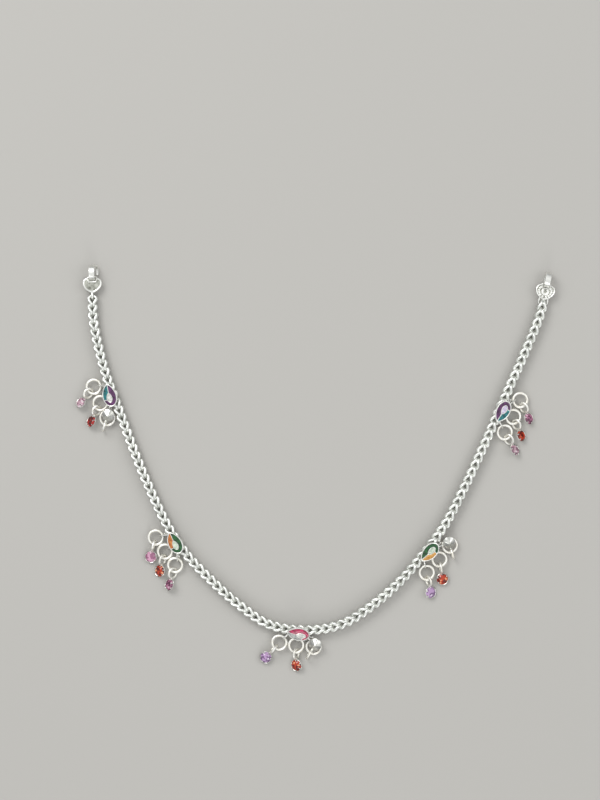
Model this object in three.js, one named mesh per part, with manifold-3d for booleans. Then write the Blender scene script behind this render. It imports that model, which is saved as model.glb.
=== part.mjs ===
// A payal: a silver anklet chain with five enamelled mango charms, each with three stone drops,
// laid open on a surface. Millimetres, +Z up, +X from the hook end towards the ring end.

import * as THREE from 'three';
import { mergeVertices } from 'three/addons/utils/BufferGeometryUtils.js';
import Module from 'manifold-3d';

const wasm = await Module();
wasm.setup();

// Driving sizes of the chain
const chainWire = 0.66;
const chainWidth = 3.2;
const linkPitch = 2.441;
const chainWireSides = 5;
const archOverrun = 0.3;
const archTightness = 0.18;
const archLean = 0.25;

// Driving sizes of the charm plates
const plateLength = 7.0;
const plateWidth = 4.4;
const plateThickness = 0.8;
const plateShift = -0.3;
const plateTurn = 11;
const plateSeatGap = 0.2;
const rimWidth = 0.36;
const cellDepth = 0.25;
const eyeletWire = 0.42;
const eyeletSpread = 4.3;
const eyeletHeight = 1.5;
const firstCharmAt = 30.6;
const charmSpacing = 47.25;

// Driving sizes of the jump rings and the drops
const jumpRingDiameter = 4.9;
const jumpWire = 0.66;
const jumpSides = 10;
const bailDiameter = 3.64;
const bailWire = 0.62;
const dropReach = 2.5;
const cupDiameter = 3.9;
const cupDepth = 1.2;
const tableDiameter = 2.2;
const crownHeight = 0.62;
const stoneFacets = 8;
const solderDepth = 0.16;

// Driving sizes of the end caps, the closing ring and the hook
const heartWidth = 5.7;
const heartLength = 4.7;
const heartThickness = 1.1;
const heartHeight = 2.05;
const bandDiameter = 4.7;
const bandWidth = 1.8;
const bandThickness = 0.6;
const bandSides = 12;
const tongueWidth = 0.8;
const slotGap = 0.12;
const notchDepth = 1.05;
const lugWire = 0.6;
const notchBarWire = 0.46;
const capGap = 0.12;

// Clearances that links, rings and pieces keep to each other
const runningGap = 0.1;
const floorGap = 0.01;

const radians = THREE.MathUtils.degToRad;
const up = new THREE.Vector3(0, 0, 1);

// The chain's route from the hook end to the ring end, points chosen by hand
const route = [
  [-66.3, 52.2], [-66.2, 46.6], [-65.1, 39.5], [-62.4, 29.0], [-59.9, 22.2], [-56.8, 13.7],
  [-51.8, 0.6], [-47.0, -10.3], [-44.1, -16.2], [-38.1, -25.3], [-30.7, -33.0], [-22.8, -40.0],
  [-13.9, -46.0], [-5.0, -47.8], [1.9, -47.6], [8.7, -45.9], [17.6, -40.3], [26.2, -32.7],
  [33.9, -23.6], [39.1, -16.4], [45.5, -4.0], [51.5, 9.0], [55.5, 18.3], [58.7, 25.4],
  [64.5, 38.6], [67.8, 47.0], [68.5, 50.2],
];

// One row for each charm: how far it is shifted along the chain, how far its plate leans and
// reaches outwards, and its enamel
const charms = [
  { shift: 0, lean: 8, reach: 0.95, enamel: 0x1f9aa0 },
  { shift: 0.8, lean: 8, reach: 0.6, enamel: 0xd98a3a },
  { shift: 0, lean: 22, reach: 0.85, enamel: 0xc2477a },
  { shift: 0, lean: 8, reach: 0.9, enamel: 0xd9a23a },
  { shift: 0, lean: 8, reach: 0.95, enamel: 0x1f9aa0 },
];

// One row for each drop. Swing turns its jump ring, and heading the drop, from straight out
// towards the ring end, in degrees. Tilt is 90 where the stone faces up. A flipped drop lies
// back over its jump ring, with its stone down.
const drops = [
  { charm: 0, eyelet: -1, swing: -4, heading: 31, tilt: 44, flipped: false, stone: 0xe3a9c4 },
  { charm: 0, eyelet: 0, swing: 24, heading: 43, tilt: 46, flipped: false, stone: 0xb3301f },
  { charm: 0, eyelet: 1, swing: 44, heading: 50, tilt: 90, flipped: true, stone: 0xe3a9c4 },
  { charm: 1, eyelet: -1, swing: -12, heading: 42, tilt: 84, flipped: false, stone: 0xe3a9c4 },
  { charm: 1, eyelet: 0, swing: 8, heading: 41, tilt: 60, flipped: false, stone: 0xd9531e },
  { charm: 1, eyelet: 1, swing: 30, heading: 40, tilt: 46, flipped: false, stone: 0xd89ac0 },
  { charm: 2, eyelet: -1, swing: -44, heading: -38, tilt: 86, flipped: false, stone: 0xcfa0d8 },
  { charm: 2, eyelet: 0, swing: -18, heading: 4, tilt: 62, flipped: false, stone: 0xd9431e },
  { charm: 2, eyelet: 1, swing: 8, heading: -28, tilt: 90, flipped: true, stone: 0xe3a9c4 },
  { charm: 3, eyelet: -1, swing: -40, heading: -40, tilt: 65, flipped: false, stone: 0xcfa0d8 },
  { charm: 3, eyelet: 0, swing: -5, heading: -43, tilt: 86, flipped: false, stone: 0xd9531e },
  { charm: 3, eyelet: 1, swing: 20, heading: -36, tilt: 90, flipped: true, stone: 0xe3a9c4 },
  { charm: 4, eyelet: -1, swing: -40, heading: -36, tilt: 44, flipped: false, stone: 0xe3b4cc },
  { charm: 4, eyelet: 0, swing: -11, heading: -43, tilt: 48, flipped: false, stone: 0xd9531e },
  { charm: 4, eyelet: 1, swing: 20, heading: -41, tilt: 50, flipped: false, stone: 0xd89ac0 },
];

// Materials
function metal(color, roughness) {
  return new THREE.MeshStandardMaterial({ color, roughness, metalness: 1.0 });
}

const silver = () => metal(0xdcdcd4, 0.28);
const warmSilver = () => metal(0xdbd7bf, 0.3);

// A wire's centre line through a few corners, open or closed
class WirePath extends THREE.Curve {
  constructor(corners, closed) {
    super();
    this.corners = corners;
    this.closed = closed;
    this.steps = closed ? corners.length : corners.length - 1;
  }

  corner(index) {
    const count = this.corners.length;
    return this.corners[this.closed ? (index + count) % count : index];
  }

  direction(index) {
    return this.corner(index + 1).clone().sub(this.corner(index)).normalize();
  }

  before(index) {
    return this.closed || index > 0 ? this.direction(index - 1) : this.direction(0);
  }

  after(index) {
    return this.closed || index < this.steps ? this.direction(index) : this.direction(index - 1);
  }

  getPointAt(share) {
    return this.corner(Math.round(share * this.steps)).clone();
  }

  getTangentAt(share) {
    const index = Math.round(share * this.steps);
    return this.before(index).add(this.after(index)).normalize();
  }
}

// A wire of a few flat sides, mitred at the corners of its path
function wireGeometry(path, radius, sides) {
  const frames = path.computeFrenetFrames(path.steps, path.closed);
  const rings = path.corners.length;
  const corners = [];
  for (let ring = 0; ring < rings; ring += 1) {
    const centre = path.corner(ring);
    const mitre = path.after(ring).sub(path.before(ring));
    const turned = mitre.length() > 1e-6;
    mitre.normalize();
    const halfTurn = path.before(ring).angleTo(path.after(ring)) / 2;
    const stretch = turned ? 1 / Math.cos(halfTurn) - 1 : 0;
    for (let side = 0; side < sides; side += 1) {
      const angle = (side / sides) * Math.PI * 2;
      const spoke = frames.normals[ring].clone().multiplyScalar(Math.cos(angle) * radius);
      spoke.addScaledVector(frames.binormals[ring], Math.sin(angle) * radius);
      spoke.addScaledVector(mitre, spoke.dot(mitre) * stretch);
      corners.push(spoke.add(centre));
    }
  }
  return sweptGeometry(corners, sides, path.closed);
}

// A closed skin over rings of corners, each ring with the same number of sides
function sweptGeometry(corners, sides, closed) {
  const rings = corners.length / sides;
  const steps = closed ? rings : rings - 1;
  const index = [];
  for (let ring = 0; ring < steps; ring += 1) {
    const next = (ring + 1) % rings;
    for (let side = 0; side < sides; side += 1) {
      const beside = (side + 1) % sides;
      const a = ring * sides + side;
      const b = ring * sides + beside;
      const c = next * sides + beside;
      const d = next * sides + side;
      index.push(a, b, c, a, c, d);
    }
  }
  if (!closed) {
    for (let side = 1; side < sides - 1; side += 1) {
      const last = (rings - 1) * sides;
      index.push(0, side + 1, side, last, last + side, last + side + 1);
    }
  }
  const geometry = new THREE.BufferGeometry().setFromPoints(corners);
  geometry.setIndex(index);
  return geometry;
}

// Between three.js geometry and solids that can be joined and cut
function solidOf(geometry) {
  const bare = geometry.clone();
  for (const name of Object.keys(bare.attributes)) {
    if (name !== 'position') bare.deleteAttribute(name);
  }
  const merged = mergeVertices(bare, 1e-5);
  return new wasm.Manifold(new wasm.Mesh({
    numProp: 3,
    vertProperties: new Float32Array(merged.attributes.position.array),
    triVerts: new Uint32Array(merged.index.array),
  }));
}

function joined(geometries) {
  return wasm.Manifold.union(geometries.map(solidOf));
}

function geometryOf(solid) {
  const mesh = solid.getMesh();
  const geometry = new THREE.BufferGeometry();
  geometry.setAttribute('position', new THREE.Float32BufferAttribute(mesh.vertProperties, 3));
  geometry.setIndex(Array.from(mesh.triVerts));
  geometry.computeVertexNormals();
  return geometry;
}

const anklet = new THREE.Group();
anklet.name = 'payal_anklet';

function addPiece(name, geometry, material) {
  const mesh = new THREE.Mesh(geometry, material);
  mesh.name = name;
  anklet.add(mesh);
  return mesh;
}

function wireThrough(corners, diameter, sides, closed) {
  const points = corners.map(([x, y, z]) => new THREE.Vector3(x, y, z));
  return wireGeometry(new WirePath(points, closed), diameter / 2, sides);
}

// The chain's link: a closed loop of wire, pinched in the middle and folded in two. The fold
// goes round the two arches of the link before, and its own two arches lie flat ahead. The
// upper arch is drawn tight to one side, so that each link touches the next in one place. The
// link with no grip lies loose there.
const archHeight = chainWire / 2 + 0.01;
const pinchHalf = chainWire / 2 + 0.07;
const foldReach = chainWire * 0.91;
const foldHeight = chainWire * 1.82;
const wideShare = 0.95;
const wideHeight = chainWire * 0.64;

function linkGeometry(grip) {
  const wide = chainWidth / 2 - chainWire / 2;
  const half = (side, reach, lean) => [
    [-foldReach, side * pinchHalf, side * foldHeight],
    [linkPitch * wideShare, side * wide, side * wideHeight],
    [linkPitch + reach, lean, side * archHeight],
    [linkPitch * wideShare, -side * wide, side * wideHeight],
    [-foldReach, -side * pinchHalf, side * foldHeight],
  ];
  const top = half(1, archOverrun - archTightness * grip, -archLean * grip);
  const bottom = half(-1, archOverrun, 0);
  return wireThrough([...top, ...bottom], chainWire, chainWireSides, true);
}

const chainHeight = -new THREE.Box3().setFromBufferAttribute(
  linkGeometry(1).getAttribute('position')).min.z;

const routeCurve = new THREE.CatmullRomCurve3(
  route.map(([x, y]) => new THREE.Vector3(x, y, 0)), false, 'centripetal');
routeCurve.arcLengthDivisions = 2000;
const routeLength = routeCurve.getLength();

function routePoint(distance) {
  return routeCurve.getPointAt(THREE.MathUtils.clamp(distance / routeLength, 0, 1));
}

function routeFrame(distance) {
  const along = routeCurve.getTangentAt(THREE.MathUtils.clamp(distance / routeLength, 0, 1));
  const outward = new THREE.Vector3(along.y, -along.x, 0);
  const frame = new THREE.Matrix4().makeBasis(outward, along, up);
  return frame.setPosition(routePoint(distance));
}

// Links are counted from the hook end. Each lies with its arches towards the hook end.
const linkCount = Math.floor(routeLength / linkPitch);
const middleLink = Math.round(linkCount / 2);

function linkPlace(index) {
  return (index + 1) * linkPitch;
}

function linkFrame(index) {
  const here = routePoint(linkPlace(index));
  const ahead = routePoint(linkPlace(index) - linkPitch).sub(here).normalize();
  const across = up.clone().cross(ahead);
  const frame = new THREE.Matrix4().makeBasis(ahead, across, up);
  return frame.setPosition(here.x, here.y, chainHeight);
}

function chainGeometry(first, last) {
  const links = [];
  for (let index = first; index < last; index += 1) {
    const grip = index === middleLink ? 0 : 1;
    links.push(linkGeometry(grip).applyMatrix4(linkFrame(index)));
  }
  return geometryOf(joined(links));
}

addPiece('chain_hook_side', chainGeometry(0, middleLink), silver());
addPiece('chain_ring_side', chainGeometry(middleLink, linkCount), silver());

// The charm plate's outline: a mango, its tip towards the hook end, x outwards
function mangoPoint(x, y) {
  return new THREE.Vector2((x * plateWidth) / 2, (y * plateLength) / 2);
}

function mangoShape(inset) {
  const scaled = (x, y) => {
    const point = mangoPoint(x, y);
    point.x *= 1 - (2 * inset) / plateWidth;
    point.y *= 1 - (2 * inset) / plateLength;
    return [point.x, point.y];
  };
  const shape = new THREE.Shape();
  shape.moveTo(...scaled(0.1, -1));
  shape.bezierCurveTo(...scaled(0.85, -0.75), ...scaled(1.15, -0.1), ...scaled(0.9, 0.42));
  shape.bezierCurveTo(...scaled(0.65, 0.95), ...scaled(-0.35, 1.28), ...scaled(-0.85, 0.62));
  shape.bezierCurveTo(...scaled(-1.25, 0.1), ...scaled(-0.75, -0.72), ...scaled(0.1, -1));
  return shape;
}

// The wall between the two enamel cells follows the mango's inner curl
function dividerShape() {
  const line = new THREE.CubicBezierCurve(
    mangoPoint(0.0, -1.02), mangoPoint(0.5, -0.3), mangoPoint(-0.1, 0.3), mangoPoint(0.72, 0.8));
  const steps = 3;
  const left = [];
  const right = [];
  for (let step = 0; step <= steps; step += 1) {
    const point = line.getPoint(step / steps);
    const slope = line.getTangent(step / steps);
    const side = new THREE.Vector2(-slope.y, slope.x).multiplyScalar(rimWidth / 2);
    left.push(point.clone().add(side));
    right.unshift(point.clone().sub(side));
  }
  return new THREE.Shape([...left, ...right]);
}

function slab(shape, bottom, height, segments) {
  const settings = { depth: height, bevelEnabled: false, curveSegments: segments };
  return new THREE.ExtrudeGeometry(shape, settings).translate(0, 0, bottom);
}

function plateSolid() {
  const outlineSegments = 3;
  const floor = plateThickness - cellDepth;
  const body = solidOf(slab(mangoShape(0), 0, plateThickness, outlineSegments));
  const pocket = solidOf(slab(mangoShape(rimWidth), floor, plateThickness, outlineSegments));
  const wall = solidOf(slab(dividerShape(), floor - cellDepth, plateThickness * 2, 1));
  return body.subtract(pocket.subtract(wall));
}

// A charm rests on the chain's outer shoulder and leans outwards about it. Seen from above it
// is turned a little, its round end outwards.
const chainTop = chainHeight * 2;
const shoulder = chainWidth * 0.16;
const eyeletHalf = jumpWire / 2 + eyeletWire / 2 + runningGap + 0.03;
const eyeletShoulder = eyeletHeight + jumpWire * 0.75;
const eyeletReach = chainWidth / 2 + eyeletWire / 2 + runningGap * 1.5 + eyeletHalf;

function plateFrame(charm) {
  const seat = new THREE.Matrix4().makeTranslation(shoulder, plateShift, chainTop + plateSeatGap);
  const turn = new THREE.Matrix4().makeRotationY(radians(charm.lean));
  const slide = new THREE.Matrix4().makeTranslation(charm.reach - shoulder, 0, 0);
  const yaw = new THREE.Matrix4().makeRotationZ(radians(-plateTurn));
  return seat.multiply(turn).multiply(slide).multiply(yaw);
}

function underPlate(x, lean) {
  return chainTop + plateSeatGap - (x - shoulder) * Math.tan(radians(lean));
}

// An eyelet: a staple of wire under the plate, turned towards the jump ring that it carries
function eyeletSolid(side, swing, charm) {
  const along = side * eyeletSpread;
  const rootAlong = side * plateLength * 0.41;
  const root = plateShift + rootAlong;
  const middle = charm.reach + rootAlong * Math.sin(radians(plateTurn));
  const edge = charm.reach + plateWidth * 0.4;
  const rootIn = side === 0 ? edge - eyeletHalf : middle + eyeletWire * 0.7;
  const rootOut = side === 0 ? edge : middle + eyeletWire * 1.5;
  const outX = Math.cos(radians(swing)) * eyeletHalf;
  const outY = Math.sin(radians(swing)) * eyeletHalf;
  const low = eyeletHeight - jumpWire / 2 - eyeletWire / 2 - runningGap * 1.6;
  const bite = plateThickness * 0.45;
  return wireThrough([
    [rootIn, root, underPlate(rootIn, charm.lean) + bite],
    [eyeletReach - outX, along - outY, eyeletShoulder],
    [eyeletReach - outX, along - outY, low],
    [eyeletReach + outX, along + outY, low],
    [eyeletReach + outX, along + outY, eyeletShoulder],
    [rootOut, root, underPlate(rootOut, charm.lean) + bite],
  ], eyeletWire, 4, false);
}

// The jump rings: each passes through its eyelet and holds the bail of one drop
const jumpRadius = (jumpRingDiameter - jumpWire) / 2;
const bailRadius = (bailDiameter - bailWire) / 2;
const bailToStone = bailDiameter / 2 + cupDiameter / 2 - solderDepth;
const linkClearance = jumpWire / 2 + bailWire / 2 + runningGap;

function level(angle) {
  return new THREE.Vector3(Math.cos(radians(angle)), Math.sin(radians(angle)), 0);
}

function ringFrame(drop, farHeight) {
  const swing = level(drop.swing);
  const heading = level(drop.heading);
  const slopeWay = swing.clone().add(heading).normalize();
  const fall = (farHeight - eyeletHeight) / (2 * jumpRadius * slopeWay.dot(swing));
  const normal = new THREE.Vector3(-fall * slopeWay.x, -fall * slopeWay.y, 1).normalize();
  const first = new THREE.Vector3(swing.x, swing.y, fall * slopeWay.dot(swing)).normalize();
  const second = normal.clone().cross(first);
  const centre = new THREE.Vector3(eyeletReach, drop.eyelet * eyeletSpread, 0);
  centre.addScaledVector(swing, jumpRadius).setZ((eyeletHeight + farHeight) / 2);
  return new THREE.Matrix4().makeBasis(first, second, normal).setPosition(centre);
}

// A drop: bail ring, cup and cut stone soldered in one. Its own x runs from bail to stone,
// and the stone faces its own z.
function dropSolid() {
  const profile = [
    new THREE.Vector2(0, -cupDepth),
    new THREE.Vector2(cupDiameter / 2, 0),
    new THREE.Vector2(tableDiameter / 2, crownHeight),
    new THREE.Vector2(0, crownHeight),
  ];
  const stone = new THREE.LatheGeometry(profile, stoneFacets);
  stone.rotateX(Math.PI / 2).rotateZ(Math.PI / 2);
  const bail = new THREE.TorusGeometry(bailRadius, bailWire / 2, 5, jumpSides);
  bail.rotateX(Math.PI / 2).translate(-bailToStone, 0, 0);
  return solidOf(stone).add(solidOf(bail));
}

// A drop's turn: heading first, then pitched, then rolled about its length
function dropTurn(drop, pitch) {
  const roll = radians(drop.flipped ? 180 : 90 - drop.tilt) * (drop.heading < 0 ? -1 : 1);
  const facing = radians(drop.heading + (drop.flipped ? 180 : 0));
  const turn = new THREE.Matrix4().makeRotationZ(facing);
  turn.multiply(new THREE.Matrix4().makeRotationY(-pitch));
  return turn.multiply(new THREE.Matrix4().makeRotationX(roll));
}

function restHeights(turn) {
  const parts = new THREE.Matrix4().extractRotation(turn).elements;
  const ringAcross = parts[6];
  const face = parts[10];
  const bail = bailRadius * Math.sqrt(1 - ringAcross ** 2) + bailWire / 2;
  const spread = Math.sqrt(1 - face ** 2);
  const girdle = (cupDiameter / 2) * spread;
  const base = cupDepth * face;
  return { bail: bail + floorGap, stone: Math.max(girdle, base) + floorGap };
}

function dropPlace(drop) {
  let pitch = 0;
  let heights = restHeights(dropTurn(drop, pitch));
  const overRing = eyeletShoulder + eyeletWire + crownHeight;
  for (let step = 0; step < 6; step += 1) {
    const stone = drop.flipped ? overRing : heights.stone;
    pitch = Math.asin((stone - heights.bail) / bailToStone);
    heights = restHeights(dropTurn(drop, pitch));
  }
  const tilt = Math.sqrt(1 - new THREE.Matrix4().extractRotation(dropTurn(drop, pitch)).elements[6] ** 2);
  const slack = Math.max(bailRadius * tilt - linkClearance, 0);
  return { pitch, bail: heights.bail, far: heights.bail - slack * 0.55 };
}

function dropFrame(drop, place, ring) {
  const centre = new THREE.Vector3().setFromMatrixPosition(ring);
  centre.addScaledVector(level(drop.heading), dropReach).setZ(place.bail);
  const turn = dropTurn(drop, place.pitch);
  const toStone = new THREE.Vector3(bailToStone, 0, 0).applyMatrix4(turn);
  return turn.setPosition(centre.add(toStone));
}

const eyeletNames = { '-1': 'a', 0: 'b', 1: 'c' };

charms.forEach((charm, index) => {
  const frame = routeFrame(firstCharmAt + index * charmSpacing + charm.shift);
  const own = drops.filter((drop) => drop.charm === index);
  const plateBody = geometryOf(plateSolid()).applyMatrix4(plateFrame(charm));
  const eyelets = own.map((drop) => eyeletSolid(drop.eyelet, drop.swing, charm));
  const body = geometryOf(joined([plateBody, ...eyelets])).applyMatrix4(frame);
  addPiece(`charm_plate_${index + 1}`, body, metal(charm.enamel, 0.3));
  for (const drop of own) {
    const place = dropPlace(drop);
    const ringMatrix = ringFrame(drop, place.far);
    const label = `${index + 1}${eyeletNames[drop.eyelet]}`;
    const ring = new THREE.TorusGeometry(jumpRadius, jumpWire / 2, 5, jumpSides);
    ring.applyMatrix4(ringMatrix).applyMatrix4(frame);
    addPiece(`jump_ring_${label}`, ring, warmSilver());
    const stone = geometryOf(dropSolid()).applyMatrix4(dropFrame(drop, place, ringMatrix));
    const material = metal(drop.stone, 0.15);
    material.metalness = 0;
    addPiece(`stone_drop_${label}`, stone.applyMatrix4(frame), material);
  }
});

// The end caps: heart plates, each with a square notch that a band of metal passes through,
// and a bar across the notch. Their own x runs outwards from the heart's tip, and a lug's from
// the chain's last link.
const notchWidth = bandWidth + 2 * slotGap;
const notchAt = heartLength - notchDepth;
const bandRadius = (bandDiameter - bandThickness) / 2;
const bandCentre = notchAt + slotGap + bandThickness / 2 + bandRadius;
const hookTip = archOverrun + chainWire / 2 + capGap;
const ringTip = foldReach + chainWire / 2 + capGap;

function heartShape() {
  const wide = heartWidth / 2;
  const long = heartLength;
  const shape = new THREE.Shape();
  shape.moveTo(0, 0);
  shape.bezierCurveTo(long * 0.1, wide * 0.62, long * 0.36, wide * 1.04, long * 0.68, wide);
  shape.bezierCurveTo(long * 0.94, wide * 0.96, long * 1.08, wide * 0.48, long * 0.9, 0);
  shape.bezierCurveTo(long * 1.08, -wide * 0.48, long * 0.94, -wide * 0.96, long * 0.68, -wide);
  shape.bezierCurveTo(long * 0.36, -wide * 1.04, long * 0.1, -wide * 0.62, 0, 0);
  return shape;
}

function notchBar() {
  const reach = notchAt + 2 * slotGap + bandThickness + notchBarWire / 2;
  const root = notchAt + notchDepth * 0.4;
  const side = notchWidth / 2 + notchBarWire / 2;
  return wireThrough([
    [root, side + notchBarWire * 0.5, heartHeight],
    [reach, side, heartHeight],
    [reach, -side, heartHeight],
    [root, -side - notchBarWire * 0.5, heartHeight],
  ], notchBarWire, 4, false);
}

function heartCap(lug, tip) {
  const plate = slab(heartShape(), heartHeight - heartThickness / 2, heartThickness, 3);
  const notch = new THREE.BoxGeometry(notchDepth * 2, notchWidth, heartThickness * 3);
  notch.translate(notchAt + notchDepth, 0, heartHeight);
  const cut = solidOf(plate).subtract(solidOf(notch));
  const cap = geometryOf(cut.add(solidOf(notchBar()))).translate(tip, 0, 0);
  return geometryOf(solidOf(cap).add(solidOf(lug)));
}

// The hook end's lug stands up through the two arches of the first link
function archLug() {
  const clear = archHeight + chainWire / 2 + lugWire / 2 + runningGap;
  const inside = chainWire / 2 + lugWire / 2 + runningGap;
  const root = hookTip + heartLength * 0.2;
  return wireThrough([
    [root, 0, heartHeight],
    [inside, 0, chainHeight + clear],
    [-inside, 0, chainHeight + clear],
    [-inside, 0, chainHeight - clear],
    [inside, 0, chainHeight - clear],
    [root, 0, heartHeight - heartThickness * 0.2],
  ], lugWire, 4, false);
}

// The ring end's lug lies flat through the fold of the last link
function foldLug() {
  const beside = pinchHalf + chainWire / 2 + lugWire / 2 + runningGap;
  const bar = foldReach - chainWire / 2 - lugWire / 2 - runningGap;
  const root = ringTip + heartLength * 0.36;
  return wireThrough([
    [root, beside, heartHeight - heartThickness * 0.25],
    [bar, beside, chainHeight],
    [bar, -beside, chainHeight],
    [root, -beside, heartHeight - heartThickness * 0.25],
  ], lugWire, 4, false);
}

function closingRing() {
  const inner = bandRadius - bandThickness / 2;
  const outer = bandRadius + bandThickness / 2;
  const half = bandWidth / 2;
  const section = [[inner, -half], [outer, -half], [outer, half], [inner, half], [inner, -half]];
  const profile = section.map(([radius, across]) => new THREE.Vector2(radius, across));
  const ring = new THREE.LatheGeometry(profile, bandSides);
  return ring.translate(bandCentre, 0, bandRadius + bandThickness / 2 + floorGap);
}

// The hook is the same band left open below. It rises through the notch, goes over and down,
// and its free end narrows to a tongue that comes back beside it.
function hookBand() {
  const startAngle = 225;
  const endAngle = -110;
  const steps = 12;
  const rise = bandRadius + bandThickness / 2 + floorGap;
  const tongueOffset = -(bandWidth / 2 + tongueWidth / 2 + slotGap);
  const corners = [];
  for (let step = 0; step <= steps; step += 1) {
    const angle = radians(THREE.MathUtils.lerp(startAngle, endAngle, step / steps));
    const bend = THREE.MathUtils.smoothstep(step / steps, 0.55, 0.8);
    const half = THREE.MathUtils.lerp(bandWidth, tongueWidth, bend) / 2;
    const middle = tongueOffset * bend;
    for (const [side, depth] of [[-1, -1], [1, -1], [1, 1], [-1, 1]]) {
      const radius = bandRadius + (depth * bandThickness) / 2;
      corners.push(new THREE.Vector3(
        bandCentre + radius * Math.cos(angle), middle + side * half, rise + radius * Math.sin(angle)));
    }
  }
  return sweptGeometry(corners, 4, false);
}

function endFrame(distance, outwards) {
  const along = routeCurve.getTangentAt(THREE.MathUtils.clamp(distance / routeLength, 0, 1));
  along.multiplyScalar(outwards);
  const across = up.clone().cross(along);
  const place = routePoint(distance);
  return new THREE.Matrix4().makeBasis(along, across, up).setPosition(place.x, place.y, 0);
}

const hookEnd = endFrame(0, -1);
const ringEnd = endFrame(linkPlace(linkCount - 1), 1);
addPiece('heart_cap_hook_end', heartCap(archLug(), hookTip).applyMatrix4(hookEnd), silver());
addPiece('heart_cap_ring_end', heartCap(foldLug(), ringTip).applyMatrix4(ringEnd), silver());
addPiece('hook', hookBand().translate(hookTip, 0, 0).applyMatrix4(hookEnd), silver());
addPiece('closing_ring', closingRing().translate(ringTip, 0, 0).applyMatrix4(ringEnd), silver());

// The part's origin is the middle of its footprint, on the surface that it lies on
anklet.updateMatrixWorld(true);
const bounds = new THREE.Box3().setFromObject(anklet, true);
const middle = bounds.getCenter(new THREE.Vector3());
anklet.position.set(-middle.x, -middle.y, -bounds.min.z);
anklet.updateMatrixWorld(true);

export default anklet;
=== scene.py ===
"""A payal anklet laid open on a pale surface: chain, enamelled charms, stone drops and ends."""

import logging
import math
from dataclasses import dataclass, field
from enum import Enum

import bmesh
import bpy
from mathutils import Matrix, Vector


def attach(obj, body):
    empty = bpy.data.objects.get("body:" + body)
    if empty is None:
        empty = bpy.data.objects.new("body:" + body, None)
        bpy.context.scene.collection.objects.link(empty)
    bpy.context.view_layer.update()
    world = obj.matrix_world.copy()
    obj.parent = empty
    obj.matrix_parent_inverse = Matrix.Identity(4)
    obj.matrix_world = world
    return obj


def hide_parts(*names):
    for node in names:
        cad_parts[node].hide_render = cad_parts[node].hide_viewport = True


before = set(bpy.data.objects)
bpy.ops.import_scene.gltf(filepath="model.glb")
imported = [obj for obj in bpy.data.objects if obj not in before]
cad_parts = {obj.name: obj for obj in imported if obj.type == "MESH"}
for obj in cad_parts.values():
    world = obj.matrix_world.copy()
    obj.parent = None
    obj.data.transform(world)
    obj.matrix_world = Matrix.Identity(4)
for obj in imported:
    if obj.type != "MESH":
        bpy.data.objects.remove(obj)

LOG = logging.getLogger("payal")
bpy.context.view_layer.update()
MM = 0.001
WIRE_SIDES = 10
THIN_SIDES = 8
PATH_STEPS = 5
TINY = 1e-6

# Edges that turn by more degrees than this stay sharp
ROUND_SHARP = 60
PLAIN_SHARP = 40
CUT_SHARP = 24

# Where the part's frame starts, the middle of its footprint, in the route's own millimetres
FOOTPRINT_MIDDLE = Vector((0.3178, 0.5097, -0.0002))

Ring = list[Vector]


def linear(hex_code: str) -> tuple[float, float, float, float]:
    """Turn an sRGB hex colour into a linear one.

    Args:
        hex_code: Six hex digits, with or without a hash.

    Returns:
        Linear red, green, blue and an alpha of one.
    """
    digits = hex_code.lstrip("#")
    channels = []
    for start in (0, 2, 4):
        value = int(digits[start:start + 2], 16) / 255
        low = value / 12.92
        high = ((value + 0.055) / 1.055) ** 2.4
        channels.append(low if value <= 0.04045 else high)
    return (channels[0], channels[1], channels[2], 1.0)


def stand(name: str, data: bpy.types.ID) -> bpy.types.Object:
    """Make an object of the data and link it to the scene.

    Args:
        name: The object's name.
        data: The mesh, light or camera that it shows.

    Returns:
        The object, linked to the scene.
    """
    made = bpy.data.objects.new(name, data)
    bpy.context.scene.collection.objects.link(made)
    return made


def add_node(
    tree: bpy.types.NodeTree,
    kind: str,
    settings: dict[str, object] | None = None,
    values: dict[str | int, object] | None = None,
    links: dict[str | int, bpy.types.NodeSocket] | None = None,
) -> bpy.types.Node:
    """Add one node with its settings, socket values and incoming links.

    Args:
        tree: The node tree that gets the node.
        kind: The node's type name.
        settings: Attributes of the node itself.
        values: Default values of its input sockets, by name or index.
        links: Output sockets to join to its inputs, by name or index.

    Returns:
        The new node.
    """
    node = tree.nodes.new(kind)
    for name, value in (settings or {}).items():
        setattr(node, name, value)
    for key, value in (values or {}).items():
        node.inputs[key].default_value = value
    for key, socket in (links or {}).items():
        tree.links.new(socket, node.inputs[key])
    return node


def start_material(
    name: str, values: dict[str, float]
) -> tuple[bpy.types.Material, bpy.types.Node, bpy.types.NodeSocket]:
    """Start a material with its shader's values, and give both with the piece's own places.

    Args:
        name: The material's name.
        values: The shader's own values, by socket name.

    Returns:
        The material, its shader and the piece's own places.
    """
    material = bpy.data.materials.new(name)
    material.use_nodes = True
    tree = material.node_tree
    shader = tree.nodes["Principled BSDF"]
    for label, value in values.items():
        shader.inputs[label].default_value = value
    return material, shader, add_node(tree, "ShaderNodeTexCoord").outputs["Object"]


def texture(
    tree: bpy.types.NodeTree, kind: str, place: bpy.types.NodeSocket, size_mm: float,
    values: dict[str | int, object] | None = None,
) -> bpy.types.Node:
    """Add a texture whose pattern has a size in millimetres."""
    scale = {"Scale": 1 / (size_mm * MM)}
    return add_node(tree, kind, values={**scale, **(values or {})}, links={"Vector": place})


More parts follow.
